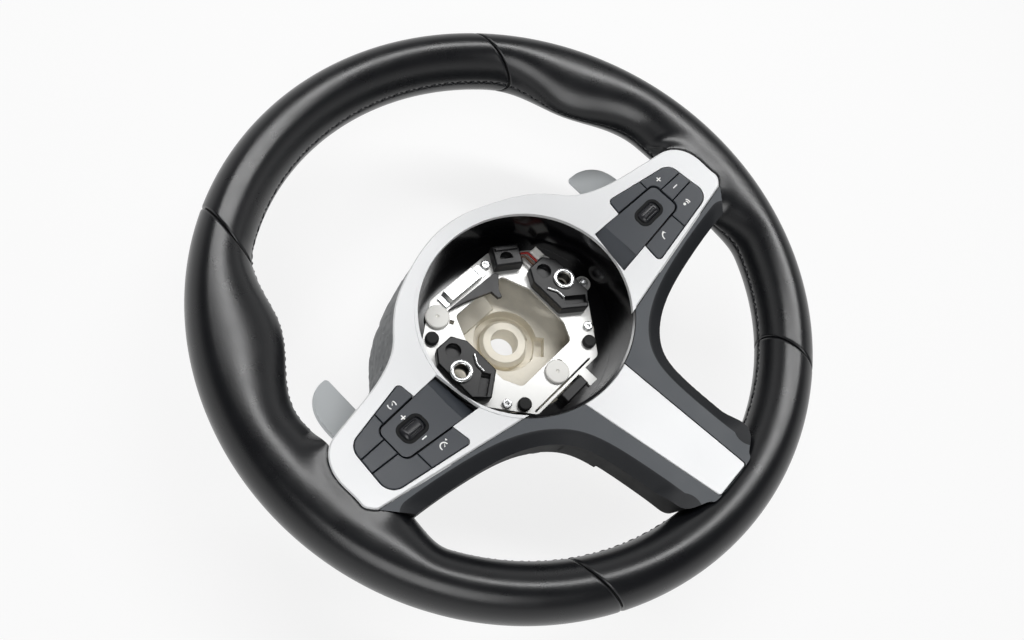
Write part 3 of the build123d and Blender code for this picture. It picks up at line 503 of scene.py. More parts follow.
def eased(share: float) -> float:
    """Returns a share from 0 to 1 with soft ends."""
    share = min(max(share, 0.0), 1.0)
    return share * share * (3 - 2 * share)


@dataclass
class Dish:
    """The dished front: a cone round the shaft axis."""

    edge_r: float = 66.0
    edge_height: float = 77.0
    slope: float = 25.0 / 86.4

    def height(self, r: np.ndarray | float) -> np.ndarray | float:
        """Returns the front's height in millimetres at a radius."""
        return self.edge_height + (r - self.edge_r) * self.slope


@dataclass
class LeatherRim:
    """Leather on the rim: four sewn panels with their thumb rests, seams and stitches."""

    nodes: Nodes
    dish: Dish
    radius: float = 169.4
    half_width: float = 15.6
    half_depth: float = 18.5
    height: float = 86.0
    # Middle, half length and height of each thumb rest
    swells: tuple[tuple[float, float, float], ...] = (
        (30.0, 21.0, 16.4), (1.0, 30.0, 10.4), (-18.5, 11.0, 7.5)
    )
    wing_reach: float = 16.0
    wing_flat: float = 0.35
    top_seam: float = 105.0
    bottom_seam: float = 93.0
    top_guess: float = 50.0
    bottom_guess: float = -56.0
    seam_rounds: int = 12
    seam_gap: float = 0.3
    seam_roll: float = 1.7
    lacing_width: float = 1.1
    lacing_depth: float = 0.55
    stitch_pitch: float = 4.4
    lacing_turn: float = 185.0
    stitch_reach: float = 1.5
    stitch_radius: float = 0.36
    stitch_rise: float = 0.05
    stitch_sink: float = 0.4
    stitch_margin: float = 6.0
    stitch_rows: int = 5
    stitch_sides: int = 6
    seam_rows: tuple[float, ...] = (0, 0.15, 0.35, 0.6, 0.9, 1.3, 1.8, 2.5)
    first_row: float = 3.3
    step: float = 0.75
    columns: int = 190
    spoke_x: float = 100.0
    spoke_y: float = -120.0
    sight: float = 30.0
    sight_below: float = 6.0
    trim_web: float = 13.0
    trim_step: float = 0.5
    trim_gap: float = 0.35
    trim_lap: float = 1.0
    trim_roll: float = 1.1
    under: float = 3.6

    def reach(self, angle: np.ndarray) -> np.ndarray:
        """Tells how far the grip reaches inwards, with its thumb rests mirrored on the left.

        Args:
            angle: Angles round the rim in radians, from 3 o'clock.

        Returns:
            Reach from the rim's middle line, in millimetres.
        """
        degrees = np.degrees(np.arcsin(np.sin(angle)))
        total = np.full_like(degrees, self.half_width)
        for centre, spread, swell in self.swells:
            away = np.minimum(np.abs(degrees - centre) / spread, 1)
            total += swell * 0.5 * (1 + np.cos(np.pi * away))
        return total

    def surface(self, angle: np.ndarray, turn: np.ndarray) -> np.ndarray:
        """Points on the grip.

        Args:
            angle: Angles round the rim in radians, from 3 o'clock.
            turn: Angles round the section in radians, from its outside.

        Returns:
            Points in millimetres, one row each.
        """
        inner = self.reach(angle)
        across = np.cos(turn)
        wing = np.clip((inner - self.half_width) / self.wing_reach, 0, 1)
        power = np.where(across < 0, 1.0 + self.wing_flat * wing, 1.0)
        off = np.where(across > 0, self.half_width, inner) * across
        up = np.sign(np.sin(turn)) * self.half_depth * np.abs(np.sin(turn)) ** power
        r = self.radius + off
        return np.stack([r * np.cos(angle), RIM_Y + r * np.sin(angle), self.height + up], axis=-1)

    def skin(self, angle: np.ndarray, turn: np.ndarray) -> tuple[np.ndarray, np.ndarray]:
        """Points on the grip with their outward normals.

        Args:
            angle: Angles round the rim in radians.
            turn: Angles round the section in radians.

        Returns:
            Points in millimetres and unit normals.
        """
        nudge = 1e-4
        points = self.surface(angle, turn)
        by_angle = self.surface(angle + nudge, turn) - points
        by_turn = self.surface(angle, turn + nudge) - points
        normal = np.cross(by_turn, by_angle)
        normal /= np.linalg.norm(normal, axis=1, keepdims=True)
        core = [
            self.radius * np.cos(angle),
            RIM_Y + self.radius * np.sin(angle),
            np.full_like(angle, self.height),
        ]
        outward = np.sum((points - np.stack(core, axis=-1)) * normal, axis=1, keepdims=True)
        return points, normal * np.sign(outward)

    def seam_angle(self, seam: float, turn: np.ndarray, start: float) -> np.ndarray:
        """Angles at which the section's lines meet a seam plane.

        Args:
            seam: Distance of the seam plane from the wheel's plane of symmetry.
            turn: Angles round the section.
            start: First guess, in degrees.

        Returns:
            Angles round the rim, in radians.
        """
        angle = np.full_like(turn, math.radians(start))
        for _ in range(self.seam_rounds):
            error = self.surface(angle, turn)[:, 0] - seam
            angle = angle + error / (self.radius * np.sin(angle))
        return angle

    def panel(self, name: str, start: np.ndarray, end: np.ndarray, turn: np.ndarray) -> Piece:
        """Builds one panel between two seams.

        Args:
            name: Name of the piece.
            start: Angle of the first seam for each line along the panel.
            end: Angle of the second seam for each line along the panel.
            turn: Angles round the section.

        Returns:
            The panel, closed at its seams.
        """
        length = self.radius * float(np.mean(np.abs(end - start)))
        near = np.array(self.seam_rows)
        between = np.arange(self.first_row, length - self.first_row, self.step)
        along = np.concatenate([near, between, (length - near)[::-1]])
        angle = start[None, :] + (end - start)[None, :] * (along / length)[:, None]
        rows, columns = angle.shape
        angle = angle.ravel()
        turns = np.tile(turn, rows)
        points, normal = self.skin(angle, turns)
        roll = np.clip(1 - np.minimum(along, length - along) / self.seam_roll, 0, 1)
        sink = np.repeat(self.seam_roll * (1 - np.sqrt(1 - roll**2)), columns)
        from_lacing = (turns - math.radians(self.lacing_turn)) * self.half_depth
        sink += self.lacing_depth * np.exp(-((from_lacing / self.lacing_width) ** 2))
        points -= normal * sink[:, None]
        self.tuck(points, (turns > np.pi / 2) & (turns < np.pi))
        panel = mesh_object(name, points, tube_faces(rows, columns), LEATHER)
        smooth(panel.data, SOFT_EDGE)
        return panel

    @staticmethod
    def lifted(z: float, level: float, gap: float, web: float) -> float:
        """Raises a point to a level, fading out over a web's width.

        Args:
            z: Height of the point.
            level: Height that it takes next to the cover.
            gap: Distance from the cover.
            web: Distance at which the point keeps its own height.

        Returns:
            The new height.
        """
        share = eased(gap / web)
        return max(z, level) * (1 - share) + z * share

    @staticmethod
    def rolled(away: float, radius: float) -> float:
        """Returns how far a rounded edge has dropped at a distance from its foot."""
        share = min(max(1 - away / radius, 0.0), 1.0)
        return radius * (1 - math.sqrt(1 - share * share))

    def tuck(self, points: np.ndarray, upper: np.ndarray) -> None:
        """Takes the leather under the spokes' covers and brings it up flush beside the bright trim.

        Args:
            points: Points of a panel in millimetres, moved in place.
            upper: Whether each point is on the inner upper quarter of the grip.
        """
        trim = tree_of(self.nodes, ("spoke_trim",))
        covers = tree_of(self.nodes, FRONT)
        front = self.dish.height(np.hypot(points[:, 0], points[:, 1]))
        near = upper & ((np.abs(points[:, 0]) > self.spoke_x) | (points[:, 1] < self.spoke_y))
        sight = (self.sight + self.sight_below) * MM
        for i in np.nonzero(near)[0]:
            x, y, z = points[i]
            level = Vector((x, y, front[i])) * MM
            if covers.ray_cast(level + UP * self.sight * MM, -UP, sight)[0] is not None:
                points[i, 2] = min(z, front[i] - self.under)
                continue
            gap = trim.find_nearest(level)[3] / MM
            flush = self.lifted(z, front[i] - self.trim_step, gap - self.trim_lap, self.trim_web)
            points[i, 2] = max(z, flush) - self.rolled(gap - self.trim_gap, self.trim_roll)

    def stitching(self, name: str, start: float, end: float) -> Piece:
        """Sews the lacing along the inside of a panel.

        Args:
            name: Name of the piece.
            start: Angle of the panel's first end at the inside.
            end: Angle of its second end.

        Returns:
            The stitches, as one piece.
        """
        covers = tree_of(self.nodes, FRONT)
        inner_r = self.radius - self.half_width
        count = int(abs(end - start) * inner_r / self.stitch_pitch)
        sides = self.stitch_sides
        t = np.linspace(-1, 1, self.stitch_rows)
        rim = np.linspace(0, 2 * np.pi, sides, endpoint=False)
        points: list[np.ndarray] = []
        faces: Faces = []
        for k in range(count):
            slant = 1 if k % 2 else -1
            angle = start + (end - start) * (k + 0.5) / count + slant * t * self.stitch_reach / inner_r
            turn = math.radians(self.lacing_turn) + t * self.stitch_reach / self.half_depth
            base, normal = self.skin(angle, turn)
            middle = Vector(base[t.size // 2]) * MM
            covered = covers.ray_cast(middle, UP, self.sight * MM)[0] is not None
            if covered or covers.find_nearest(middle)[3] < self.stitch_margin * MM:
                continue
            core = base + normal * (self.stitch_rise - self.stitch_sink * t * t)[:, None]
            along = np.gradient(core, axis=0)
            side = np.cross(along, normal)
            side /= np.linalg.norm(side, axis=1, keepdims=True)
            faces += tube_faces(t.size, sides, len(points) * t.size * sides)
            outward = np.cos(rim)[:, None] * normal[:, None] + np.sin(rim)[:, None] * side[:, None]
            points.append((core[:, None] + self.stitch_radius * outward).reshape(-1, 3))
        lacing = mesh_object(name, np.concatenate(points), faces, THREAD)
        smooth(lacing.data, SOFT_EDGE)
        return lacing

    def build(self) -> list[Piece]:
        """Builds the four panels and their stitches.

        Returns:
            The new pieces. Each panel stands for its node.
        """
        turn = np.linspace(0, 2 * np.pi, self.columns, endpoint=False)
        gap = self.seam_gap / 2
        (top, side_top), (bottom, side_bottom) = (
            [self.seam_angle(seam + off, turn, guess) for off in (-gap, gap)]
            for seam, guess in ((self.top_seam, self.top_guess), (self.bottom_seam, self.bottom_guess))
        )
        spans = {
            "top": (top, np.pi - top),
            "right": (side_bottom, side_top),
            "left": (np.pi - side_top, np.pi - side_bottom),
            "bottom": (-np.pi - bottom, bottom),
        }
        inside = self.columns // 2
        pieces = []
        for place, (start, end) in spans.items():
            panel = self.panel(f"leather_{place}_sewn", start, end, turn)
            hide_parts(f"leather_{place}")
            lacing = self.stitching(f"stitching_{place}", float(start[inside]), float(end[inside]))
            pieces += [panel, lacing]
        for piece in pieces:
            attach(piece, WHEEL)
        return pieces


@dataclass
class LowerCover:
    """Dark moulding below the side spokes and over the lower spoke, with its free edges bevelled, and painted
    shade on the bevel and the steep sides.
    """

    nodes: Nodes
    dish: Dish
    bevel: float = 8.5
    drop: float = 5.0
    ridge: float = 0.12
    depth: float = 22.0
    front_tilt: float = 0.8
    front_depth: float = 0.4
    side_tilt: float = 0.5
    sample_step: float = 0.5
    finest: float = 1.5
    finest_rounds: int = 9
    neighbour_gap: float = 1.6
    bar_calm: float = 9.0
    rim_start: float = 136.0
    rim_end: float = 148.0
    rim_share: float = 0.15
    end_turn: float = 0.6
    bar_corner: float = 14.0
    web_reach: float = 104.0
    web_top: float = 5.0
    web_bottom: float = 27.0
    web_inset: float = 0.4
    web_wall: float = 1.5

    def depth_of(self, point: Vector) -> float:
        """Returns how deep a point lies below the dished front, in millimetres."""
        return self.dish.height(point.xy.length / MM) - point.z / MM

    @staticmethod
    def plan_gap(near: KDTree, point: Vector) -> float:
        """Returns a point's distance from the free edges in plan, in metres."""
        return near.find((point.x, point.y, 0))[2]

    def free_edges(self, form: Form) -> list[FreeEdge]:
        """Finds the front's edges that no neighbour adjoins.

        Args:
            form: The cover's mesh.

        Returns:
            Both ends of each edge, and the middle of the front face beside it.
        """
        fixed = tree_of(self.nodes, ("spoke_trim", "lower_spoke_trim", "hub_liner"))
        flat = [f for f in form.faces if f.normal.z > self.front_tilt]
        front = {f for f in flat if self.depth_of(f.calc_center_median()) < self.front_depth}
        found = []
        for edge in form.edges:
            beside = [f for f in edge.link_faces if f in front]
            a, b = (v.co for v in edge.verts)
            middle = (a + b) / 2
            if len(beside) == 1 and fixed.find_nearest(middle)[3] > self.neighbour_gap * MM:
                found.append((a.copy(), b.copy(), beside[0].calc_center_median()))
        return found

    def refine(self, form: Form, near: KDTree) -> None:
        """Divides the long edges near the free edges.

        Args:
            form: The cover's mesh, changed in place.
            near: Points along the free edges, in plan.
        """
        limit = self.finest * MM
        for _ in range(self.finest_rounds):
            long = []
            for edge in form.edges:
                length = edge.calc_length()
                middle = (edge.verts[0].co + edge.verts[1].co) / 2
                reach = self.plan_gap(near, middle) - length / 2
                if length > limit and reach < self.bevel * MM:
                    long.append(edge)
            if not long:
                break
            bmesh.ops.subdivide_edges(form, edges=long, cuts=1)
            bmesh.ops.triangulate(form, faces=[f for f in form.faces if len(f.verts) > 3])

    def from_rim_axis(self, point: Vector) -> float:
        """Returns a point's distance from the rim's axis, in millimetres."""
        return math.hypot(point.x, point.y - RIM_Y * MM) / MM

    def ends_at_rim(self, a: Vector, b: Vector, bar: BVHTree) -> bool:
        """Tells whether an edge is part of the cover's end at the rim, which has no bevel.

        Args:
            a: One end of the edge.
            b: Its other end.
            bar: Search tree of the bright bar, whose corner lies in the end.

        Returns:
            True for an edge along the rim or beside the bar's corner.
        """
        middle = (a + b) / 2
        if self.from_rim_axis(middle) < self.rim_start:
            return False
        outward = (middle.xy - Vector((0, RIM_Y * MM))).normalized()
        radial = abs(outward.dot((b - a).xy.normalized()))
        return radial < self.end_turn or bar.find_nearest(middle)[3] < self.bar_corner * MM

    def score(self, form: Form, near: KDTree) -> None:
        """Cuts the cover along the bevel's ridge.

        Args:
            form: The cover's mesh, changed in place.
            near: Points along the free edges, in plan.
        """
        away = {v: self.plan_gap(near, v.co) - self.bevel * MM for v in form.verts}
        cut = []
        for edge in list(form.edges):
            a, b = edge.verts
            if away[a] * away[b] < 0:
                cut.append(bmesh.utils.edge_split(edge, a, away[a] / (away[a] - away[b]))[1])
        bmesh.ops.connect_verts(form, verts=cut)
        bmesh.ops.triangulate(form, faces=[f for f in form.faces if len(f.verts) > 3])
        form.normal_update()

    def shell(self, edges: list[FreeEdge], form: Form) -> Piece:
        """Bevels the cover's free edges, and paints shade on the bevel and on the steep sides.

        Args:
            edges: The free edges.
            form: The cover's mesh, changed in place.

        Returns:
            The moulded cover.
        """
        finishes = (SOFT_TOUCH, BEVEL_PAINTED_SHADE, BLACK_PAINTED_SHADE)
        bar = tree_of(self.nodes, ("lower_spoke_trim",))
        samples = []
        for a, b, _ in edges:
            if self.ends_at_rim(a, b, bar):
                continue
            count = max(2, int((b - a).length / (self.sample_step * MM)))
            samples += [a.lerp(b, i / count) for i in range(count + 1)]
        near = KDTree(len(samples))
        for i, point in enumerate(samples):
            near.insert((point.x, point.y, 0), i)
        near.balance()
        self.refine(form, near)
        self.score(form, near)
        # Painted shade: steep faces take the black, and upward faces on the bevel take the darker lacquer
        for face in form.faces:
            beside = self.plan_gap(near, face.calc_center_median()) < self.bevel * MM
            if abs(face.normal.z) < self.side_tilt:
                face.material_index = finishes.index(BLACK_PAINTED_SHADE)
            elif face.normal.z > 0 and beside:
                face.material_index = finishes.index(BEVEL_PAINTED_SHADE)
        full = math.hypot(1, self.ridge) - self.ridge
        for vert in form.verts:
            share = max(1 - self.plan_gap(near, vert.co) / MM / self.bevel, 0.0)
            slope = (math.hypot(share, self.ridge) - self.ridge) / full
            fade = min(max(1 - self.depth_of(vert.co) / self.depth, 0.0), 1.0)
            calm = eased(bar.find_nearest(vert.co)[3] / (self.bar_calm * MM))
            past_start = self.from_rim_axis(vert.co) - self.rim_start
            at_rim = eased(past_start / (self.rim_end - self.rim_start))
            fade *= calm * (1 - at_rim * (1 - self.rim_share))
            vert.co.z -= self.drop * MM * slope * fade
        return moulded("lower_cover_moulded", form, *finishes)

    def paths(self, edges: list[FreeEdge]) -> list[Run]:
        """Joins the free edges next to the hub into runs.

        Args:
            edges: The free edges.

        Returns:
            For each run, its points in order with the inward direction in plan at each.
        """
        links: dict[Corner, list[Corner]] = {}
        places: dict[Corner, Vector] = {}
        inward: dict[Corner, Vector] = {}
        for a, b, centre in edges:
            if ((a + b) / 2).xy.length > self.web_reach * MM:
                continue
            run = (b - a).xy.normalized()
            side = (centre - a).xy
            side = (side - run * side.dot(run)).normalized()
            keys = [(round(p.x * MICRONS), round(p.y * MICRONS)) for p in (a, b)]
            for key, other, point in ((keys[0], keys[1], a), (keys[1], keys[0], b)):
                links.setdefault(key, []).append(other)
                places[key] = point
                inward[key] = inward.get(key, Vector((0, 0))) + side
        runs = []
        ends = sorted(k for k, others in links.items() if len(others) == 1)
        seen: set[Corner] = set()
        for end in ends:
            if end in seen:
                continue
            run, here = [], end
            while here is not None:
                seen.add(here)
                run.append((places[here], inward[here].normalized()))
                here = next((k for k in links[here] if k not in seen), None)
            runs.append(run)
        return runs

    def web(self, name: str, run: Run) -> Piece:
        """Builds the wall that closes the cover against the rear bowl, black as painted shade under the
        cover's edge.

        Args:
            name: Name of the piece.
            run: Points along the cover's edge with their inward directions.

        Returns:
            The wall.
        """
        inner = self.web_inset + self.web_wall
        corners = (
            (inner, self.web_top),
            (inner, self.web_bottom),
            (self.web_inset, self.web_bottom),
            (self.web_inset, self.web_top),
        )
        points = []
        for place, inward in run:
            level = self.dish.height(place.xy.length / MM)
            for inset, deep in corners:
                plan = place.xy / MM + inward * inset
                points.append((plan.x, plan.y, level - deep))
        # Black as painted shade under the cover's edge
        wall = mesh_object(name, np.array(points), tube_faces(len(run), len(corners)), BLACK_PAINTED_SHADE)
        smooth(wall.data, MOULDED_EDGE)
        return wall

    def build(self) -> list[Piece]:
        """Builds the cover and its webs.

        Returns:
            The new pieces. The cover stands for its node.
        """
        form = loose_form(self.nodes["lower_cover"])
        edges = self.free_edges(form)
        cover = self.shell(edges, form)
        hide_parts("lower_cover")
        pieces = [cover]
        for run in self.paths(edges):
            side = "right" if run[0][0].x > 0 else "left"
            pieces.append(self.web(f"cover_web_{side}", run))
        for piece in pieces:
            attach(piece, WHEEL)
        return pieces


@dataclass
class RearBowl:
    """Bowl behind the hub, drawn in under the trim so that only its shoulder stands out."""

    nodes: Nodes
    inset: float = 1.5
    low_inset: float = 4.5
    throat_height: float = 72.0
    flare: float = 0.34
    still_y: float = 5.0
    moved_y: float = 30.0
    search_start: float = 60.0
    search_end: float = 160.0
    search_step: float = 0.5
    search_height: float = 150.0

    def front_reach(self) -> list[float]:
        """Measures the dished front from above.

        Returns:
            Its outer radius in millimetres at each whole degree.
        """
        front = tree_of(self.nodes, FRONT)
        reach = []
        for degree in range(360):
            way = Vector((math.cos(math.radians(degree)), math.sin(math.radians(degree)), 0))
            steps = np.arange(self.search_start, self.search_end, self.search_step)
            starts = {r: (way * r + UP * self.search_height) * MM for r in steps}
            covered = [r for r, start in starts.items() if front.ray_cast(start, -UP)[0] is not None]
            reach.append(float(max(covered, default=self.search_end)))
        return reach

    def build(self) -> list[Piece]:
        """Builds the bowl.

        Returns:
            The new piece, which stands for its node.
        """
        form = loose_form(self.nodes["rear_cover"])
        outside = tree_of(self.nodes, ("rear_cover",))
        reach = self.front_reach()
        for vert in form.verts:
            x, y, z = vert.co / MM
            share = eased((abs(y) - self.still_y) / (self.moved_y - self.still_y))
            if not share:
                continue
            way = Vector((x, y, 0)).normalized()
            hit = outside.ray_cast(way * self.search_end * MM + UP * vert.co.z, -way)[0]
            outer = max(hit.xy.length if hit else 0.0, vert.co.xy.length)
            limit = reach[round(math.degrees(math.atan2(y, x))) % 360]
            if y > 0:
                limit += self.flare * max(self.throat_height - z, 0.0) - self.inset
            else:
                limit -= self.low_inset
            drawn = min(limit * MM / outer, 1.0)
            vert.co.xy *= 1 - share * (1 - drawn)
        bowl = moulded("rear_cover_moulded", form, REAR_SLATE)
        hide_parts("rear_cover")
        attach(bowl, WHEEL)
        return [bowl]


@dataclass
class RollerBezels:
    """Black rings round the roller and the rocker, on the centre panels: painted shade that stands for the
    shaded gap round each.
    """

    dish: Dish
    roller_y: float = -10.0
    half_length: float = 7.6
    half_width: float = 4.45
    corner: float = 3.2
    panel_sunk: float = 0.2
    points: int = 72
    section: Outline = (
        (0, -0.1), (0, 0.1), (0.15, 0.2), (1.7, 0.2), (2.0, 0.05), (2.0, -0.1)
    )

    def loop(self, side: float, grow: float, rise: float) -> np.ndarray:
        """Traces the ring's outline on a panel.

        Args:
            side: 1 on the right, -1 on the left.
            grow: Distance outwards from the opening.
            rise: Height above the panel.

        Returns:
            Points in millimetres.
        """
        turn = np.linspace(0, 2 * np.pi, self.points, endpoint=False) + np.pi / self.points
        along = np.sign(np.cos(turn)) * (self.half_length - self.corner) + (self.corner + grow) * np.cos(turn)
        across = np.sign(np.sin(turn)) * (self.half_width - self.corner) + (self.corner + grow) * np.sin(turn)
        x = side * POD_X + along * math.cos(math.atan(self.dish.slope))
        y = self.roller_y + across
        return np.stack([x, y, self.dish.height(np.hypot(x, y)) - self.panel_sunk + rise], axis=-1)

    def build(self) -> list[Piece]:
        """Builds both rings.

        Returns:
            The new pieces.
        """
        pieces = []
        for name, side in SIDES:
            loops = [self.loop(side, grow, rise) for grow, rise in self.section]
            # Black as painted shade of the gap round the roller or the rocker
            piece = ring_object(f"roller_bezel_{name}", loops, BLACK_PAINTED_SHADE)
            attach(piece, WHEEL)
            pieces.append(piece)
        return pieces


@dataclass
class SocketBushes:
    """Bright pressed rings that line the latch blocks' sockets."""

    place: tuple[float, float] = (49.0, 0.5)
    top: float = 51.2
    points: int = 64
    section: Outline = (
        (4.7, -2.0), (4.7, 0.15), (5.1, 0.45), (6.8, 0.45),
        (7.35, 0.1), (7.35, -0.6), (6.6, -0.6), (5.2, -2.0)
    )

    def build(self) -> list[Piece]:
        """Builds both rings.

        Returns:
            The new pieces.
        """
        turn = np.linspace(0, 2 * np.pi, self.points, endpoint=False)
        pieces = []
        for name, side in SIDES:
            loops = []
            for r, rise in self.section:
                x = side * self.place[0] + r * np.cos(turn)
                y = self.place[1] + r * np.sin(turn)
                loops.append(np.stack([x, y, np.full_like(turn, self.top + rise)], axis=-1))
            piece = ring_object(f"socket_bush_{name}", loops, BRIGHT)
            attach(piece, WHEEL)
            pieces.append(piece)
        return pieces


class SignKind(Enum):
    """Plain signs on the keys."""

    MORE = "more"
    LESS = "less"
    VOICE = "voice"
    HANDSET = "handset"
    GAUGE = "gauge"


@dataclass(frozen=True)
class Stroke:
    """A curved stroke: centre, radius of its middle line, angles in degrees, and swelling at its ends."""

    centre: tuple[float, float]
    radius: float
    start: float
    end: float
    swell: float = 0.0


@dataclass(frozen=True)
class Disc:
    """A round or half-round patch: centre, half width, half height, last angle in degrees, corners."""

    centre: tuple[float, float]
    half_width: float
    half_height: float
    end: float
    corners: int

    def outline(self) -> Plan:
        """Draws the patch.

        Returns:
            Corners from its right end, once round or half round.
        """
        angles = np.radians(np.linspace(0, self.end, self.corners, endpoint=self.end < 360))
        x, y = self.centre
        return [(x + self.half_width * math.cos(a), y + self.half_height * math.sin(a)) for a in angles]


@dataclass(frozen=True)
class Sign:
    """A printed sign, the node that carries it, and its place in plan."""

    kind: SignKind
    node: str
    x: float
    y: float


@dataclass
class Signs:
    """White printed signs on the switch pods."""

    nodes: Nodes
    dish: Dish
    arm: float = 1.7
    stroke: float = 0.36
    lift: float = 0.03
    sink: float = 0.15
    search: float = 20.0
    arc_corners: int = 15
    swell_power: int = 6
    handset: Stroke = Stroke((2.4, 0.2), 4.0, 104, 256, swell=1.7)
    head: Disc = Disc((-1.3, 0.9), 0.95, 0.95, 360, 15)
    chest: Disc = Disc((-1.3, -2.1), 1.6, 1.7, 180, 12)
    waves: tuple[Stroke, ...] = (Stroke((-0.6, 0.6), 1.6, -45, 45), Stroke((-0.6, 0.6), 2.8, -45, 45))
    dial: Stroke = Stroke((0, 0), 2.4, -40, 220)
    needle: Outline = ((-0.4, -0.4), (0.4, -0.4), (1.6, 1.6))
    mark: Outline = ((2.9, 2.2), (4.1, 1.5), (3.9, 3.0))
    places: tuple[Sign, ...] = (
        Sign(SignKind.MORE, "right_key_outer_upper", 124.3, 1.0),
        Sign(SignKind.LESS, "right_key_outer_middle", 128.2, -9.8),
        Sign(SignKind.VOICE, "right_key_outer_lower", 125.0, -23.2),
        Sign(SignKind.HANDSET, "right_key_lower", 100.1, -29.2),
        Sign(SignKind.GAUGE, "left_key_upper", -104.0, 6.7),
        Sign(SignKind.MORE, "left_centre_panel", -104.0, -2.4),
        Sign(SignKind.LESS, "left_centre_panel", -103.5, -17.9),
        Sign(SignKind.GAUGE, "left_key_lower", -99.4, -28.6),
    )

    def arc(self, line: Stroke) -> Plan:
        """Outlines a curved stroke.

        Args:
            line: The stroke, which swells inwards at its ends.

        Returns:
            Corners of the closed outline.
        """
        share = np.linspace(-1, 1, self.arc_corners)
        angle = np.radians(line.start + (line.end - line.start) * (share + 1) / 2)
        inside = line.radius - self.stroke - line.swell * share**self.swell_power
        outer = [(line.radius + self.stroke, a) for a in angle]
        inner = list(zip(inside, angle))
        x, y = line.centre
        return [(x + r * math.cos(a), y + r * math.sin(a)) for r, a in outer + inner[::-1]]

    def outlines(self, kind: SignKind) -> list[Plan]:
        """Draws a sign.

        Args:
            kind: What it shows.

        Returns:
            Closed outlines in millimetres, upright, round the sign's middle.
        """
        a, s = self.arm, self.stroke
        if kind is SignKind.MORE:
            cross: Plan = []
            arm = [(a, -s), (a, s), (s, s)]
            for _ in range(4):
                cross += arm
                arm = [(-y, x) for x, y in arm]
            return [cross]
        if kind is SignKind.LESS:
            return [[(a, -s), (a, s), (-a, s), (-a, -s)]]
        if kind is SignKind.HANDSET:
            return [self.arc(self.handset)]
        if kind is SignKind.VOICE:
            return [self.head.outline(), self.chest.outline(), *map(self.arc, self.waves)]
        return [self.arc(self.dial), list(self.needle), list(self.mark)]

    def build(self) -> list[Piece]:
        """Builds the signs.

        Returns:
            The new pieces, each riding with its key.
        """
        pieces = []
        tilt = math.atan(self.dish.slope)
        for sign in self.places:
            side = math.copysign(1.0, sign.x)
            across = Vector((math.cos(tilt), 0, side * math.sin(tilt)))
            normal = Vector((-side * math.sin(tilt), 0, math.cos(tilt)))
            origin = Vector((side * POD_X, sign.y, self.dish.height(POD_X)))
            middle = origin + across * (sign.x - side * POD_X) / math.cos(tilt)
            above = (middle + normal * self.search) * MM
            middle = tree_of(self.nodes, (sign.node,)).ray_cast(above, -normal)[0] / MM
            points: list[Vector] = []
            faces: Faces = []
            for outline in self.outlines(sign.kind):
                faces += tube_faces(2, len(outline), len(points))
                for height in (-self.sink, self.lift):
                    level = middle + normal * height
                    points += [level + across * u + Vector((0, v, 0)) for u, v in outline]
            name = f"sign_{sign.kind.value}_{sign.node}"
            piece = mesh_object(name, np.array(points), faces, SIGN_WHITE)
            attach(piece, self.nodes[sign.node]["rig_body"])
            pieces.append(piece)
        return pieces


@dataclass
class Fittings:
    """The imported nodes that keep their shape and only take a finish."""

    nodes: Nodes

    def finish_of(self, name: str) -> Finish:
        """Chooses a node's finish.

        Args:
            name: Name of the node.

        Returns:
            Its finish.
        """
        table = {
            "armature": CAST, "rim_foam": FOAM, "spoke_trim": SILVER, "lower_spoke_trim": SILVER,
            "rear_screws": BRIGHT, "hub_liner": GLOSS_BLACK, "carrier_plate": SHEET,
            "latch_springs": BRIGHT, "rubber_buffers": RUBBER, "locating_pads": WHITE_NYLON,
            "plate_screws": BRIGHT, "strip_bracket": BRIGHT, "small_connector": WHITE_NYLON,
            "red_wire": RED_PVC, "brown_wire": BROWN_PVC,
        }
        if name in table:
            return table[name]
        endings = {"paddle": PADDLE, "paddle_pin": BRIGHT, "centre_panel": KEY_SLATE, "roller": GRIP_BLACK,
                   "rocker": GRIP_BLACK}
        for ending, finish in endings.items():
            if name.endswith(ending):
                return finish
        return KEY_SLATE if "_key_" in name else BLACK_NYLON

    def dress(self) -> None:
        """Gives every node its finish, smooth between its sharp edges."""
        for name, node in self.nodes.items():
            dress(node, self.finish_of(name))
            smooth(node.data, NODE_EDGE)


@dataclass(frozen=True)
class SoftBox:
    """A lamp's name, place and aim in metres, width and height in metres, and power in watts."""

    name: str
    place: tuple[float, float, float]
    aim: tuple[float, float, float]
    size: tuple[float, float]
    power: float

    def hang(self) -> None:
        """Hangs the lamp."""
        data = bpy.data.lights.new(self.name, "AREA")
        data.shape = "RECTANGLE"
        data.size, data.size_y = self.size
        data.energy = self.power
        lamp = bpy.data.objects.new(self.name, data)
        lamp.location = self.place
        lamp.rotation_euler = (Vector(self.aim) - Vector(self.place)).to_track_quat("-Z", "Y").to_euler()
        bpy.context.scene.collection.objects.link(lamp)


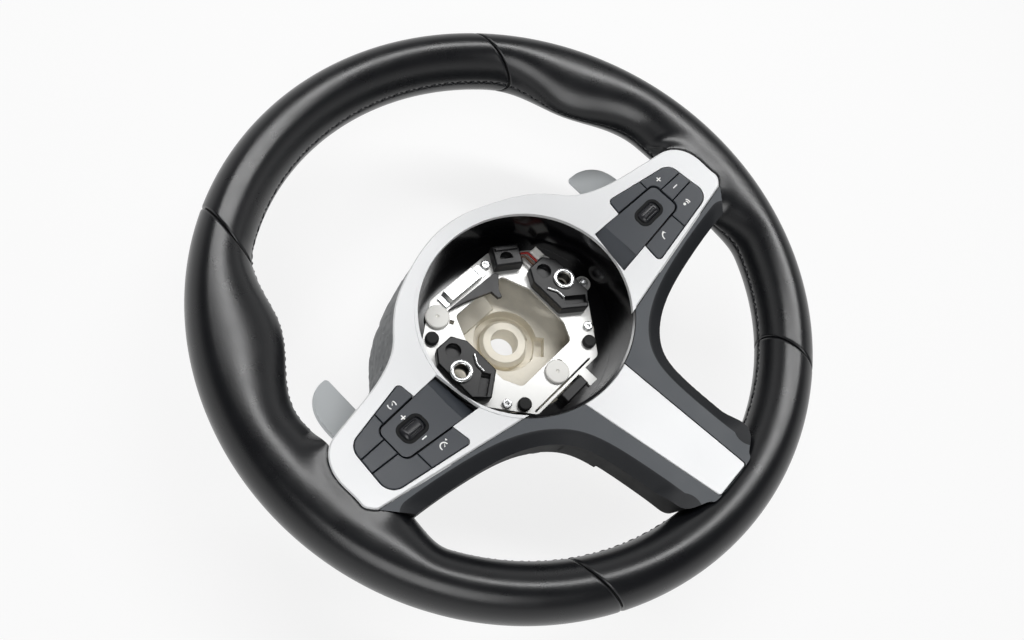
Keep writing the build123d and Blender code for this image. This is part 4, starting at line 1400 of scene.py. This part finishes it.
@dataclass
class Studio:
    """White floor, soft light and the camera, placed in metres."""

    focal_share: float = 653.07 / 1024
    sensor: float = 36.0
    near_clip: float = 0.01
    place: tuple[float, float, float] = (-0.18315, -0.05225, 0.42525)
    turn: tuple[float, float, float] = (19.221, -10.398, -45.549)
    shift: tuple[float, float] = (0.0300, 0.0510)
    floor_size: float = 4.0
    floor_drop: float = 0.0005
    floor_colour: str = "#f4f4f4"
    floor_white: float = 0.80
    cove_rise: tuple[float, float] = (0.15, 0.7)
    cove_light: tuple[float, float] = (0.8, 0.05)
    lamps: tuple[SoftBox, ...] = (
        SoftBox("strip_box_above", (0.55, 0.35, 1.25), (0.0, 0.0, 0.05), (1.6, 0.2), 13),
        SoftBox("soft_box_near", (-0.75, -0.45, 1.3), (0.0, 0.0, 0.05), (0.8, 0.8), 8),
    )

    def floor(self) -> None:
        """Lays the white floor under the wheel, whose white stays in the eye and in reflections."""
        size = self.floor_size
        mesh = bpy.data.meshes.new("studio_floor")
        corners = [(-size, -size, 0), (size, -size, 0), (size, size, 0), (-size, size, 0)]
        mesh.from_pydata(corners, [], [(0, 1, 2, 3)])
        floor = bpy.data.objects.new("studio_floor", mesh)
        floor.location.z = -self.floor_drop
        bpy.context.scene.collection.objects.link(floor)
        material, tree = new_tree("Studio_paper_white")
        matt = add_node(tree, "BsdfDiffuse", {"Color": linear(self.floor_colour)})
        glow = add_node(tree, "Emission", {"Color": (1, 1, 1, 1), "Strength": 1.0})
        path = add_node(tree, "LightPath")
        seen = path.outputs["Is Camera Ray"]
        for ray in ("Is Glossy Ray", "Is Transmission Ray"):
            either = {0: seen, 1: path.outputs[ray]}
            seen = add_node(tree, "Math", {"operation": "MAXIMUM"}, either).outputs["Value"]
        white = {"operation": "MULTIPLY", 1: self.floor_white}
        share = add_node(tree, "Math", white, {0: seen}).outputs["Value"]
        both = {0: share, 1: matt.outputs["BSDF"], 2: glow.outputs["Emission"]}
        mix = add_node(tree, "MixShader", links=both)
        add_node(tree, "OutputMaterial", links={"Surface": mix.outputs["Shader"]})
        mesh.materials.append(material)

    def air(self) -> None:
        """Lights the room: a white cove at the horizon under a dim ceiling."""
        world = bpy.data.worlds.new("Studio_air")
        bpy.context.scene.world = world
        world.use_nodes = True
        tree = world.node_tree
        tree.nodes.clear()
        way = add_node(tree, "TexCoord").outputs["Generated"]
        rise = add_node(tree, "SeparateXYZ", links={"Vector": way}).outputs["Z"]
        fade = {
            "interpolation_type": "SMOOTHSTEP",
            "From Min": self.cove_rise[0],
            "From Max": self.cove_rise[1],
            "To Min": self.cove_light[0],
            "To Max": self.cove_light[1],
        }
        level = add_node(tree, "MapRange", fade, {"Value": rise}).outputs["Result"]
        glow = add_node(tree, "Background", {"Color": (1, 1, 1, 1)}, {"Strength": level})
        add_node(tree, "OutputWorld", links={"Surface": glow.outputs["Background"]})

    def build(self) -> None:
        """Sets floor, light and camera."""
        self.floor()
        self.air()
        for lamp in self.lamps:
            lamp.hang()
        camera = bpy.data.objects.new("photo_camera", bpy.data.cameras.new("photo_camera"))
        camera.data.sensor_fit = "HORIZONTAL"
        camera.data.sensor_width = self.sensor
        camera.data.lens = self.focal_share * self.sensor
        camera.data.shift_x, camera.data.shift_y = self.shift
        camera.data.clip_start = self.near_clip
        camera.location = self.place
        camera.rotation_euler = Euler([math.radians(a) for a in self.turn])
        bpy.context.scene.collection.objects.link(camera)
        bpy.context.scene.camera = camera
        bpy.context.scene.view_settings.view_transform = "Standard"


def main() -> None:
    """Builds the dressed wheel and its studio."""
    logging.basicConfig(level=logging.INFO)
    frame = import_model()
    nodes = frame["nodes"]
    dish = Dish()
    Fittings(nodes).dress()
    assemblies = (
        LowerCover(nodes, dish),
        RearBowl(nodes),
        LeatherRim(nodes, dish),
        RollerBezels(dish),
        SocketBushes(),
        Signs(nodes, dish),
    )
    for assembly in assemblies:
        for piece in assembly.build():
            LOG.info("%s with %d faces", piece.name, len(piece.data.polygons))
    Studio().build()


if __name__ == "__main__":
    main()
